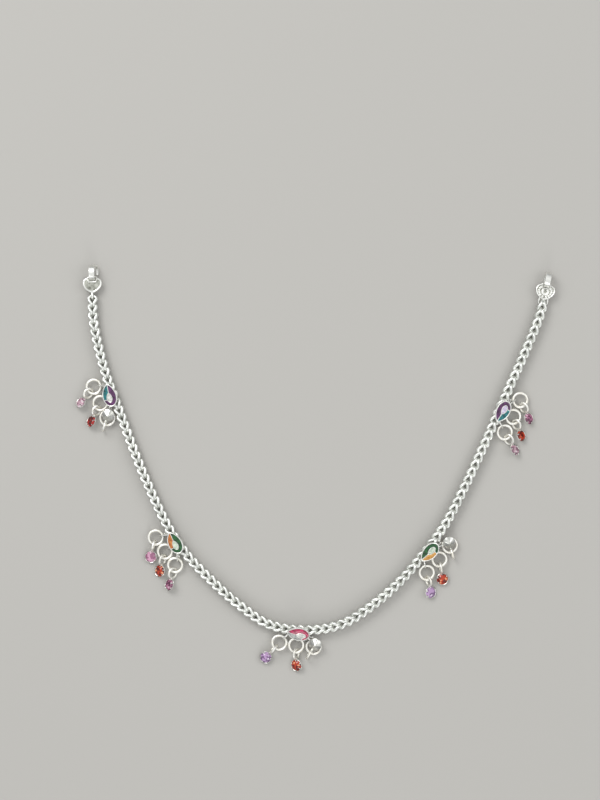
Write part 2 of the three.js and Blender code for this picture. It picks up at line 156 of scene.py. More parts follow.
def colour_by(
    tree: bpy.types.NodeTree, factor: bpy.types.NodeSocket, target: bpy.types.NodeSocket,
    stops: tuple[tuple[float, str], ...], stepped: bool = False,
) -> None:
    """Colour a socket by a factor, through stops of a place and a colour.

    Args:
        tree: The node tree that gets the ramp.
        factor: The output that says where on the ramp a point is.
        target: The input that gets the colour.
        stops: Each stop's place, from 0 to 1, and its hex colour.
        stepped: Whether the colours change at once and don't blend.
    """
    ramp = add_node(tree, "ShaderNodeValToRGB", links={"Fac": factor})
    if stepped:
        ramp.color_ramp.interpolation = "CONSTANT"
    given = len(ramp.color_ramp.elements)
    for index, (place, colour) in enumerate(stops):
        elements = ramp.color_ramp.elements
        stop = elements[index] if index < given else elements.new(place)
        stop.position = place
        stop.color = linear(colour)
    tree.links.new(ramp.outputs["Color"], target)


def raise_by(
    tree: bpy.types.NodeTree, height: bpy.types.NodeSocket, target: bpy.types.NodeSocket,
    strength: float, depth_mm: float,
) -> None:
    """Make a shader's surface uneven by a height.

    Args:
        tree: The node tree that gets the bump.
        height: The output that gives the height.
        target: The shader's normal input.
        strength: How strongly it shows, from 0 to 1.
        depth_mm: How deep the relief is, in mm.
    """
    bump = add_node(
        tree, "ShaderNodeBump",
        values={"Strength": strength, "Distance": depth_mm * MM}, links={"Height": height},
    )
    tree.links.new(bump.outputs["Normal"], target)


@dataclass(frozen=True)
class Silver:
    """Polished cast and drawn sterling silver, with handling haze and a little tarnish."""

    name: str
    bright: str
    tarnished: str
    roughness: float
    haze_mm: float = 1.6
    brush_mm: float = 0.25
    duller: float = 0.12
    glossier: float = 0.06

    def make(self) -> bpy.types.Material:
        """Build the finish.

        Returns:
            The silver material.
        """
        # Bright metal whose reflections break up softly, greyer and duller in cloudy patches
        material, shader, place = start_material(self.name, {"Metallic": 1.0})
        tree = material.node_tree
        noise = "ShaderNodeTexNoise"
        cloud = texture(tree, noise, place, self.haze_mm, {"Detail": 4.0, "Roughness": 0.6})
        colour_by(tree, cloud.outputs["Fac"], shader.inputs["Base Color"],
                  ((0.3, self.tarnished), (0.62, self.bright)))
        gloss = add_node(
            tree, "ShaderNodeMapRange",
            values={
                "To Min": self.roughness + self.duller,
                "To Max": self.roughness - self.glossier,
            },
            links={"Value": cloud.outputs["Fac"]},
        )
        tree.links.new(gloss.outputs["Result"], shader.inputs["Roughness"])
        grain = texture(tree, noise, place, self.brush_mm, {"Detail": 2.0})
        raise_by(tree, grain.outputs["Fac"], shader.inputs["Normal"], strength=0.18, depth_mm=0.03)
        return material


@dataclass(frozen=True)
class Enamel:
    """Fired glass enamel, glossy over a slightly uneven coloured ground."""

    name: str
    deep: str
    light: str
    mottle_mm: float = 0.8

    def make(self) -> bpy.types.Material:
        """Build the finish.

        Returns:
            The enamel material.
        """
        # Clear gloss over colour that pools darker in places, as enamel does at its edges
        material, shader, place = start_material(self.name, {
            "Roughness": 0.22, "IOR": 1.5, "Coat Weight": 0.35, "Coat Roughness": 0.06})
        tree = material.node_tree
        pool = texture(tree, "ShaderNodeTexNoise", place, self.mottle_mm, {"Detail": 3.0})
        colour_by(tree, pool.outputs["Fac"], shader.inputs["Base Color"],
                  ((0.35, self.deep), (0.7, self.light)))
        raise_by(tree, pool.outputs["Fac"], shader.inputs["Normal"], strength=0.15, depth_mm=0.04)
        return material


@dataclass(frozen=True)
class CutStone:
    """Cut glass stone in a closed cup, its facets painted as random cells of dark shade, body
    colour and white glint.
    """

    name: str
    deep: str
    light: str
    # The painted white glint, standing in for facets that catch the light
    painted_glint: str
    facet_mm: float = 0.6

    def make(self) -> bpy.types.Material:
        """Build the finish.

        Returns:
            The stone material.
        """
        # Clear tinted glass with its facet light painted in: random cells of painted dark shade,
        # body colour and painted white glint
        material, shader, place = start_material(self.name, {
            "Roughness": 0.04, "IOR": 1.62, "Transmission Weight": 0.2})
        tree = material.node_tree
        facets = texture(tree, "ShaderNodeTexVoronoi", place, self.facet_mm)
        stops = ((0.0, self.deep), (0.45, self.light), (0.8, self.painted_glint))
        colour_by(tree, facets.outputs["Color"], shader.inputs["Base Color"], stops, stepped=True)
        return material


class Tint(Enum):
    """The stones' colours: painted dark facet shade, body colour and painted white glint."""

    PALE_PINK = ("8E6C7A", "D3ABBA", "FBEAF0")
    ROSE = ("A66A8A", "E3A9C6", "FFE9F3")
    LILAC = ("86688F", "C7A3D0", "F0E0F4")
    RED = ("5A0705", "B01A10", "E5604A")
    ORANGE = ("6A1404", "C4390F", "FFAC7C")
    ORCHID = ("74485E", "B87896", "EEC3D6")


class Glaze(Enum):
    """The enamels' colours."""

    TEAL = ("053F44", "1F8F92")
    PURPLE = ("2C1030", "6C356C")
    ORANGE = ("8C4614", "D88A42")
    GREEN = ("0A2E14", "236A33")
    MAGENTA = ("7E0F36", "CC2C62")
    AMBER = ("A86E24", "E8B766")
    PALE_GREEN = ("9FB39A", "DDE6D6")
    PALE_LILAC = ("A99DBA", "E2DAEC")
    WHITE = ("B4B4AE", "EDEDE8")
    BARE = ("7F817E", "BDBFBC")


class Finishes:
    """Makes each finish once and hands it out."""

    def __init__(self) -> None:
        """Make the metals and leave the colours until they are asked for."""
        self.chain = Silver("Polished sterling silver wire", "F6F7F2", "CDCFC9", 0.36).make()
        self.cast = Silver("Polished cast silver", "FAFAF6", "DCDCD6", 0.34, haze_mm=2.4).make()
        self.oxidised = Silver(
            "Oxidised silver in the recesses", "C4C5BB", "5E5F56", 0.36, haze_mm=1.3).make()
        self.rings = Silver("Drawn silver ring wire, warm", "FEFDF8", "F0ECE0", 0.42).make()
        self.cup = Silver("Bright silver cup", "EDEDE7", "A9AAA4", 0.25).make()
        self.made: dict[str, bpy.types.Material] = {}

    def once(
        self, title: str, kind: type[CutStone] | type[Enamel], colour: Tint | Glaze
    ) -> bpy.types.Material:
        """Give the finish of one colour, made when it is first asked for.

        Args:
            title: The first words of the finish's name.
            kind: The class that makes it.
            colour: The tint or glaze that it gets.

        Returns:
            The material of that colour.
        """
        name = f"{title}, {colour.name.lower().replace('_', ' ')}"
        if name not in self.made:
            self.made[name] = kind(name, *colour.value).make()
        return self.made[name]

    def stone(self, tint: Tint) -> bpy.types.Material:
        """Give the stone of one tint."""
        return self.once("Cut glass stone", CutStone, tint)

    def enamel(self, glaze: Glaze) -> bpy.types.Material:
        """Give the enamel of one colour."""
        return self.once("Fired enamel", Enamel, glaze)


def smooth_path(corners: list[Vector], steps: int, closed: bool) -> list[Vector]:
    """Run a rounded path through corners, slowest where they lie close.

    Args:
        corners: The points that the path goes through.
        steps: Points made for each stretch between two corners.
        closed: Whether the path comes back to its start.

    Returns:
        The path's points.
    """
    count = len(corners)
    stretches = count if closed else count - 1
    points = []
    for index in range(stretches):
        ends = []
        for offset in (-1, 0, 1, 2):
            place = index + offset
            if closed:
                ends.append(corners[place % count])
            elif place < 0:
                ends.append(corners[0] * 2 - corners[1])
            elif place >= count:
                ends.append(corners[-1] * 2 - corners[-2])
            else:
                ends.append(corners[place])
        for step in range(steps):
            points.append(knotted(ends, step / steps))
    if not closed:
        points.append(corners[-1].copy())
    return points


def knotted(ends: list[Vector], share: float) -> Vector:
    """Find a point between the middle two of four ends, on a centripetal curve.

    Args:
        ends: The point before, the stretch's two ends and the point after.
        share: How far along the stretch.

    Returns:
        The point.
    """
    before, start, finish, after = ends
    gap_before = max((start - before).length, TINY) ** 0.5
    gap = max((finish - start).length, TINY) ** 0.5
    gap_after = max((after - finish).length, TINY) ** 0.5
    leave = (start - before) / gap_before - (finish - before) / (gap_before + gap)
    leave = (leave + (finish - start) / gap) * gap
    arrive = (finish - start) / gap - (after - start) / (gap + gap_after)
    arrive = (arrive + (after - finish) / gap_after) * gap
    square = share * share
    cube = square * share
    point = start * (2 * cube - 3 * square + 1) + finish * (3 * square - 2 * cube)
    return point + leave * (cube - 2 * square + share) + arrive * (cube - square)


def curve_points(
    sides: tuple[tuple[tuple[float, float], ...], ...], count: int
) -> list[tuple[float, float]]:
    """Give points along cubic curves of four corners each, without the last one's end.

    Args:
        sides: Each curve's four corners.
        count: How many points each curve gets.

    Returns:
        The points, in order.
    """
    points = []
    for corners in sides:
        for step in range(count):
            share = step / count
            rest = 1 - share
            weights = (rest ** 3, 3 * rest ** 2 * share, 3 * rest * share ** 2, share ** 3)
            x = sum(weight * corner[0] for weight, corner in zip(weights, corners))
            y = sum(weight * corner[1] for weight, corner in zip(weights, corners))
            points.append((x, y))
    return points


def level_ring(radius: float, height: float, count: int) -> Ring:
    """Give the points of a level ring at a height.

    Args:
        radius: The ring's radius.
        height: How high it lies.
        count: How many points it has.

    Returns:
        The points, in order.
    """
    angles = [2 * math.pi * step / count for step in range(count)]
    return [Vector((radius * math.cos(angle), radius * math.sin(angle), height))
            for angle in angles]


class Shape:
    """Collects closed shells in millimetres and turns them into one mesh."""

    def __init__(self) -> None:
        """Start with nothing."""
        self.mesh = bmesh.new()

    def skin(self, rings: list[Ring], closed: bool, slot: int = 0) -> None:
        """Cover rings of equal point counts, with caps where the skin is open.

        Args:
            rings: The rings in order.
            closed: Whether the last ring meets the first.
            slot: The material slot of the faces.
        """
        rows = [[self.mesh.verts.new(point) for point in ring] for ring in rings]
        sides = len(rows[0])
        stretches = len(rows) if closed else len(rows) - 1
        faces = []
        for index in range(stretches):
            here = rows[index]
            ahead = rows[(index + 1) % len(rows)]
            for side in range(sides):
                beside = (side + 1) % sides
                faces.append(self.mesh.faces.new(
                    (here[side], here[beside], ahead[beside], ahead[side])))
        if not closed:
            faces.append(self.mesh.faces.new(list(reversed(rows[0]))))
            faces.append(self.mesh.faces.new(rows[-1]))
        for face in faces:
            face.material_index = slot

    def wire(
        self, path: list[Vector], radius: float, sides: int, closed: bool, slot: int = 0,
        flat: float = 1.0,
    ) -> None:
        """Draw a wire along a path. Flat says how much wider and lower than round it is.

        Args:
            path: The centre line.
            radius: The wire's radius.
            sides: How many sides stand for the round.
            closed: Whether the wire meets its own start.
            slot: The material slot.
            flat: How much wider and lower than round its section is.
        """
        count = len(path)
        tangents = []
        for index in range(count):
            before = path[index - 1] if closed or index else path[0]
            after = path[(index + 1) % count] if closed or index < count - 1 else path[-1]
            tangents.append((after - before).normalized())
        normal = tangents[0].orthogonal().normalized()
        normals = [normal]
        for index in range(1, count):
            turn = tangents[index - 1].rotation_difference(tangents[index])
            normal = (turn @ normals[-1]).normalized()
            normals.append(normal)
        twist = 0.0
        if closed:
            last = tangents[-1].rotation_difference(tangents[0]) @ normals[-1]
            across = tangents[0].cross(normals[0])
            twist = -math.atan2(last.dot(across), last.dot(normals[0]))
        rings = []
        for index in range(count):
            spin = Matrix.Rotation(twist * index / count, 3, tangents[index])
            side_way = spin @ normals[index]
            other_way = tangents[index].cross(side_way)
            ring = []
            for side in range(sides):
                angle = 2 * math.pi * side / sides
                spoke = side_way * math.cos(angle) + other_way * math.sin(angle)
                pressed = Vector((spoke.x * flat, spoke.y * flat, spoke.z / flat))
                ring.append(path[index] + pressed * radius)
            rings.append(ring)
        self.skin(rings, closed, slot)

    def turned(self, profile: list[tuple[float, float]], segments: int) -> None:
        """Turn a profile of radius and height, from the bottom up and off the axis, about Z."""
        self.skin([level_ring(radius, height, segments) for radius, height in profile], False)

    def ball(self, centre: Vector, radius: float, squash: float = 1.0) -> None:
        """Add a small ball, flattened if squash is under one.

        Args:
            centre: Its middle.
            radius: Its radius.
            squash: Its height as a share of its width.
        """
        rows, sides = 8, 12
        rings = []
        for step in range(1, rows):
            angle = math.pi * step / rows - math.pi / 2
            height = radius * math.sin(angle) * squash
            ring = level_ring(radius * math.cos(angle), height, sides)
            rings.append([centre + offset for offset in ring])
        self.skin(rings, False)

    def place(self, matrix: Matrix) -> None:
        """Move what has been made so far."""
        bmesh.ops.transform(self.mesh, matrix=matrix, verts=self.mesh.verts)

    def take(self, mesh: bpy.types.Mesh) -> None:
        """Add a copy of a finished mesh in millimetres."""
        self.mesh.from_mesh(mesh)

    def to_mesh(self, name: str, sharp_degrees: float) -> bpy.types.Mesh:
        """Write the shells to a mesh in millimetres, smooth but for its sharp edges.

        Args:
            name: The mesh's name.
            sharp_degrees: Edges that turn more than this stay sharp.

        Returns:
            The mesh.
        """
        bmesh.ops.recalc_face_normals(self.mesh, faces=self.mesh.faces)
        for face in self.mesh.faces:
            face.smooth = True
        mesh = bpy.data.meshes.new(name)
        self.mesh.to_mesh(mesh)
        self.mesh.free()
        mesh.set_sharp_from_angle(angle=math.radians(sharp_degrees))
        return mesh

    def finish(
        self, name: str, materials: list[bpy.types.Material], sharp_degrees: float = PLAIN_SHARP
    ) -> bpy.types.Object:
        """Make an object in the part's frame, in metres.

        Args:
            name: The object's name.
            materials: Its material slots.
            sharp_degrees: Edges that turn more than this stay sharp.

        Returns:
            The object, linked to the scene.
        """
        self.place(Matrix.Scale(MM, 4) @ Matrix.Translation(-FOOTPRINT_MIDDLE))
        mesh = self.to_mesh(name, sharp_degrees)
        for material in materials:
            mesh.materials.append(material)
        return stand(name, mesh)


def settle(piece: bpy.types.Object, slot: str, *nodes: str) -> None:
    """Let a finished piece ride on the part and stand for its solids.

    Args:
        piece: The finished object.
        slot: The record's material slot; not used.
        nodes: The solids that it replaces.
    """
    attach(piece, "root")
    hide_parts(*nodes)
    LOG.info("%s: %d faces for %s", piece.name, len(piece.data.polygons), ", ".join(nodes))


@dataclass
class Route:
    """The chain's line on the surface, from the hook end to the ring end."""

    corners: tuple[tuple[float, float], ...] = (
        (-66.3, 52.2), (-66.2, 46.6), (-65.1, 39.5), (-62.4, 29.0), (-59.9, 22.2), (-56.8, 13.7),
        (-51.8, 0.6), (-47.0, -10.3), (-44.1, -16.2), (-38.1, -25.3), (-30.7, -33.0),
        (-22.8, -40.0), (-13.9, -46.0), (-5.0, -47.8), (1.9, -47.6), (8.7, -45.9),
        (17.6, -40.3), (26.2, -32.7), (33.9, -23.6), (39.1, -16.4), (45.5, -4.0), (51.5, 9.0),
        (55.5, 18.3), (58.7, 25.4), (64.5, 38.6), (67.8, 47.0), (68.5, 50.2),
    )
    steps: int = 80
    points: list[Vector] = field(default_factory=list)
    lengths: list[float] = field(default_factory=list)

    def __post_init__(self) -> None:
        """Draw the line finely and measure it."""
        corners = [Vector((x, y, 0)) for x, y in self.corners]
        self.points = smooth_path(corners, self.steps, False)
        self.lengths = [0.0]
        for here, ahead in zip(self.points, self.points[1:]):
            self.lengths.append(self.lengths[-1] + (ahead - here).length)

    @property
    def length(self) -> float:
        """Give the whole length."""
        return self.lengths[-1]

    def at(self, distance: float) -> tuple[Vector, Vector]:
        """Find a point on the line and the way it runs there.

        Args:
            distance: How far from the hook end.

        Returns:
            The point and the unit tangent.
        """
        distance = min(max(distance, 0.0), self.length)
        index = 1
        while index < len(self.lengths) - 1 and self.lengths[index] < distance:
            index += 1
        start, finish = self.points[index - 1], self.points[index]
        run = self.lengths[index] - self.lengths[index - 1]
        share = (distance - self.lengths[index - 1]) / run
        return start.lerp(finish, share), (finish - start).normalized()

    def frame(self, distance: float) -> Matrix:
        """Give the frame there: X outwards, Y along and Z up.

        Args:
            distance: How far along the route, in mm.

        Returns:
            The frame's matrix.
        """
        point, along = self.at(distance)
        outward = Vector((along.y, -along.x, 0))
        return basis(outward, along, Vector((0, 0, 1)), point)


def basis(x_way: Vector, y_way: Vector, z_way: Vector, place: Vector) -> Matrix:
    """Make a matrix from three directions and a place.

    Args:
        x_way: Where its X points.
        y_way: Where its Y points.
        z_way: Where its Z points.
        place: Where its origin lies.

    Returns:
        The matrix.
    """
    matrix = Matrix((x_way, y_way, z_way)).transposed().to_4x4()
    matrix.translation = place
    return matrix


def start_tree(name: str, inputs: dict[str, str]) -> tuple[bpy.types.NodeTree, bpy.types.Node]:
    """Start a tree with named inputs of socket kinds, and give it with its input node.

    Args:
        name: The tree's name.
        inputs: Each input's label and socket kind.

    Returns:
        The tree and its input node.
    """
    tree = bpy.data.node_groups.new(name, "GeometryNodeTree")
    sockets = tree.interface
    sockets.new_socket("Geometry", in_out="INPUT", socket_type="NodeSocketGeometry")
    for label, kind in inputs.items():
        sockets.new_socket(label, in_out="INPUT", socket_type=f"NodeSocket{kind}")
    sockets.new_socket("Geometry", in_out="OUTPUT", socket_type="NodeSocketGeometry")
    return tree, add_node(tree, "NodeGroupInput")


def hang_copies(
    tree: bpy.types.NodeTree, given: bpy.types.Node, points: bpy.types.NodeSocket,
    source: str, turn: bpy.types.NodeSocket,
) -> None:
    """Put a copy of the source on each point, make it real and give it its metal.

    Args:
        tree: The tree that gets the nodes.
        given: The tree's input node.
        points: The points that each get a copy.
        source: The label of the input that holds the copied object.
        turn: How each copy is turned.
    """
    model = add_node(tree, "GeometryNodeObjectInfo", links={"Object": given.outputs[source]})
    hung = add_node(
        tree, "GeometryNodeInstanceOnPoints",
        links={"Points": points, "Instance": model.outputs["Geometry"], "Rotation": turn},
    )
    real = add_node(tree, "GeometryNodeRealizeInstances", links={"Geometry": hung.outputs[0]})
    dress = add_node(
        tree, "GeometryNodeSetMaterial",
        links={"Geometry": real.outputs[0], "Material": given.outputs["Metal"]},
    )
    add_node(tree, "NodeGroupOutput", links={0: dress.outputs[0]})


@dataclass
class LinkChain:
    """The foxtail chain: links folded in two, each through the one before."""

    route: Route
    finish: bpy.types.Material
    pitch: float = 2.441
    wire: float = 0.8
    middle_height: float = 1.6
    fold_reach: float = 0.92
    fold_height: float = 1.2
    pinch: float = 0.385
    half_width: float = 1.16
    flat: float = 1.14
    arch_gap: float = 0.02
    sway_degrees: float = 1.2
    seed: int = 7

    @property
    def count(self) -> int:
        """Give the number of links."""
        return int(self.route.length // self.pitch)

    def place(self, index: int) -> float:
        """Give a link's distance along the route."""
        return (index + 1) * self.pitch

    def link_mesh(self) -> bpy.types.Mesh:
        """Make one link in millimetres, its arches ahead along X.

        Returns:
            The link's mesh.
        """
        reach, high, near, wide = self.fold_reach, self.fold_height, self.pinch, self.half_width
        ahead = self.pitch
        arch = self.wire / 2 + self.arch_gap
        # A quarter of the loop, from the fold to an arch: ahead, across and up
        quarter = [
            (-reach, near, 0.0),
            (-reach * 0.72, near, high * 0.68),
            (0.0, near, high),
            (ahead * 0.17, wide * 0.5, high),
            (ahead * 0.35, wide * 0.75, high * 0.92),
            (ahead * 0.53, wide * 0.95, high * 0.79),
            (ahead * 0.64, wide, high * 0.68),
            (ahead * 0.75, wide * 0.93, high * 0.57),
            (ahead * 0.87, wide * 0.66, high * 0.43),
            (ahead * 0.965, wide * 0.32, arch * 1.06),
            (ahead, 0.0, arch),
        ]
        upper = [Vector(point) for point in quarter]
        back = [Vector((x, -y, z)) for x, y, z in reversed(quarter[:-1])]
        lower_out = [Vector((x, -y, -z)) for x, y, z in quarter[1:]]
        lower_back = [Vector((x, y, -z)) for x, y, z in reversed(quarter[1:-1])]
        path = smooth_path(upper + back + lower_out + lower_back, 1, True)
        shape = Shape()
        shape.wire(path, self.wire / 2, WIRE_SIDES, True, flat=self.flat)
        return shape.to_mesh("link", ROUND_SHARP)

    def tree(self) -> bpy.types.NodeTree:
        """Build the tree that hangs a link on each point of a run.

        Returns:
            The node tree.
        """
        tree, given = start_tree("Run of folded links", {
            "Link": "Object", "Sway": "Float", "Seed": "Int", "Metal": "Material"})
        ahead = add_node(
            tree, "GeometryNodeInputNamedAttribute",
            settings={"data_type": "FLOAT_VECTOR"}, values={"Name": "ahead"},
        )
        aim = add_node(
            tree, "FunctionNodeAlignRotationToVector",
            settings={"axis": "X", "pivot_axis": "Z"},
            links={"Vector": ahead.outputs["Attribute"]},
        )
        negative = add_node(
            tree, "ShaderNodeMath", settings={"operation": "MULTIPLY"},
            values={1: -1.0}, links={0: given.outputs["Sway"]},
        )
        sway = add_node(
            tree, "FunctionNodeRandomValue", settings={"data_type": "FLOAT"},
            links={
                2: negative.outputs[0], 3: given.outputs["Sway"], "Seed": given.outputs["Seed"],
            },
        )
        roll = add_node(tree, "ShaderNodeCombineXYZ", links={"X": sway.outputs[1]})
        swayed = add_node(
            tree, "FunctionNodeRotateRotation", settings={"rotation_space": "LOCAL"},
            links={0: aim.outputs[0], 1: roll.outputs[0]},
        )
        hang_copies(tree, given, given.outputs["Geometry"], "Link", swayed.outputs[0])
        return tree

    def run(
        self, name: str, first: int, last: int, tree: bpy.types.NodeTree, link: bpy.types.Object
    ) -> None:
        """Make the links from the first to the one before the last, and settle them.

        Args:
            name: The node that the run replaces.
            first: The first link's index.
            last: One past the last link's index.
            tree: The node tree.
            link: The link object.
        """
        places, ways = [], []
        for index in range(first, last):
            here = self.route.at(self.place(index))[0]
            ahead = (self.route.at(self.place(index) - self.pitch)[0] - here).normalized()
            here = here + Vector((0, 0, self.middle_height)) - FOOTPRINT_MIDDLE
            places.append(here * MM)
            ways.append(ahead)
        points = bpy.data.meshes.new(f"{name}_points")
        points.from_pydata(places, [], [])
        attribute = points.attributes.new("ahead", "FLOAT_VECTOR", "POINT")
        attribute.data.foreach_set("vector", [number for way in ways for number in way])
        carrier = stand(f"{name}_carrier", points)
        plain = grown(carrier, tree, {
            "Link": link, "Sway": math.radians(self.sway_degrees),
            "Seed": self.seed, "Metal": self.finish,
        })
        plain.set_sharp_from_angle(angle=math.radians(ROUND_SHARP))
        settle(stand(f"{name}_links", plain), "silver", name)

    def build(self) -> None:
        """Make both runs of the chain."""
        mesh = self.link_mesh()
        mesh.transform(Matrix.Scale(MM, 4))
        link = stand("link", mesh)
        tree = self.tree()
        middle = round(self.count / 2)
        self.run("chain_hook_side", 0, middle, tree, link)
        self.run("chain_ring_side", middle, self.count, tree, link)
        bpy.data.objects.remove(link)


def grown(
    carrier: bpy.types.Object, tree: bpy.types.NodeTree, inputs: dict[str, object]
) -> bpy.types.Mesh:
    """Run a node tree with its inputs on an object, keep its mesh and remove the object.

    Args:
        carrier: The object that the tree starts from.
        tree: The node tree.
        inputs: The modifier's values by socket name.

    Returns:
        The evaluated mesh.
    """
    modifier = carrier.modifiers.new("Nodes", "NODES")
    modifier.node_group = tree
    for item in tree.interface.items_tree:
        if item.in_out == "INPUT" and item.name in inputs:
            modifier[item.identifier] = inputs[item.name]
    carrier.update_tag()
    bpy.context.view_layer.update()
    settled = carrier.evaluated_get(bpy.context.evaluated_depsgraph_get())
    mesh = bpy.data.meshes.new_from_object(settled)
    carrier.modifiers.remove(modifier)
    bpy.data.objects.remove(carrier)
    return mesh


@dataclass
class Drop:
    """One stone drop: how it and its jump ring lie."""

    eyelet: int
    swing: float
    heading: float
    tilt: float
    tint: Tint
    flipped: bool = False


@dataclass
class Charm:
    """One charm: its shift, lean and reach, its three enamels and its drops."""

    shift: float
    lean: float
    reach: float
    crescent: Glaze
    hook_band: Glaze
    teardrop: Glaze
    drops: tuple[Drop, ...]
    tear_out: float = 0.1
    tear_along: float = 0.7


CHARMS = (
    Charm(0.0, 8, 0.95, Glaze.TEAL, Glaze.PURPLE, Glaze.WHITE, (
        Drop(-1, -4, 31, 44, Tint.PALE_PINK),
        Drop(0, 24, 43, 46, Tint.RED),
        Drop(1, 44, 50, 90, Tint.PALE_PINK, True),
    )),
    Charm(0.8, 8, 0.6, Glaze.ORANGE, Glaze.GREEN, Glaze.PALE_GREEN, (
        Drop(-1, -12, 42, 84, Tint.ROSE),
        Drop(0, 8, 41, 60, Tint.ORANGE),
        Drop(1, 30, 40, 46, Tint.ORCHID),
    )),
    Charm(0.0, 22, 0.85, Glaze.BARE, Glaze.MAGENTA, Glaze.WHITE, (
        Drop(-1, -44, -38, 86, Tint.LILAC),
        Drop(0, -18, 4, 62, Tint.ORANGE),
        Drop(1, 8, -28, 90, Tint.PALE_PINK, True),
    ), tear_out=0.35, tear_along=0.95),
    Charm(0.0, 8, 0.9, Glaze.AMBER, Glaze.GREEN, Glaze.PALE_GREEN, (
        Drop(-1, -40, -40, 65, Tint.LILAC),
        Drop(0, -5, -43, 86, Tint.ORANGE),
        Drop(1, 20, -36, 90, Tint.PALE_PINK, True),
    )),
    Charm(0.0, 8, 0.95, Glaze.TEAL, Glaze.PURPLE, Glaze.PALE_LILAC, (
        Drop(-1, -40, -36, 44, Tint.PALE_PINK),
        Drop(0, -11, -43, 48, Tint.ORANGE),
        Drop(1, 20, -41, 50, Tint.ORCHID),
    )),
)


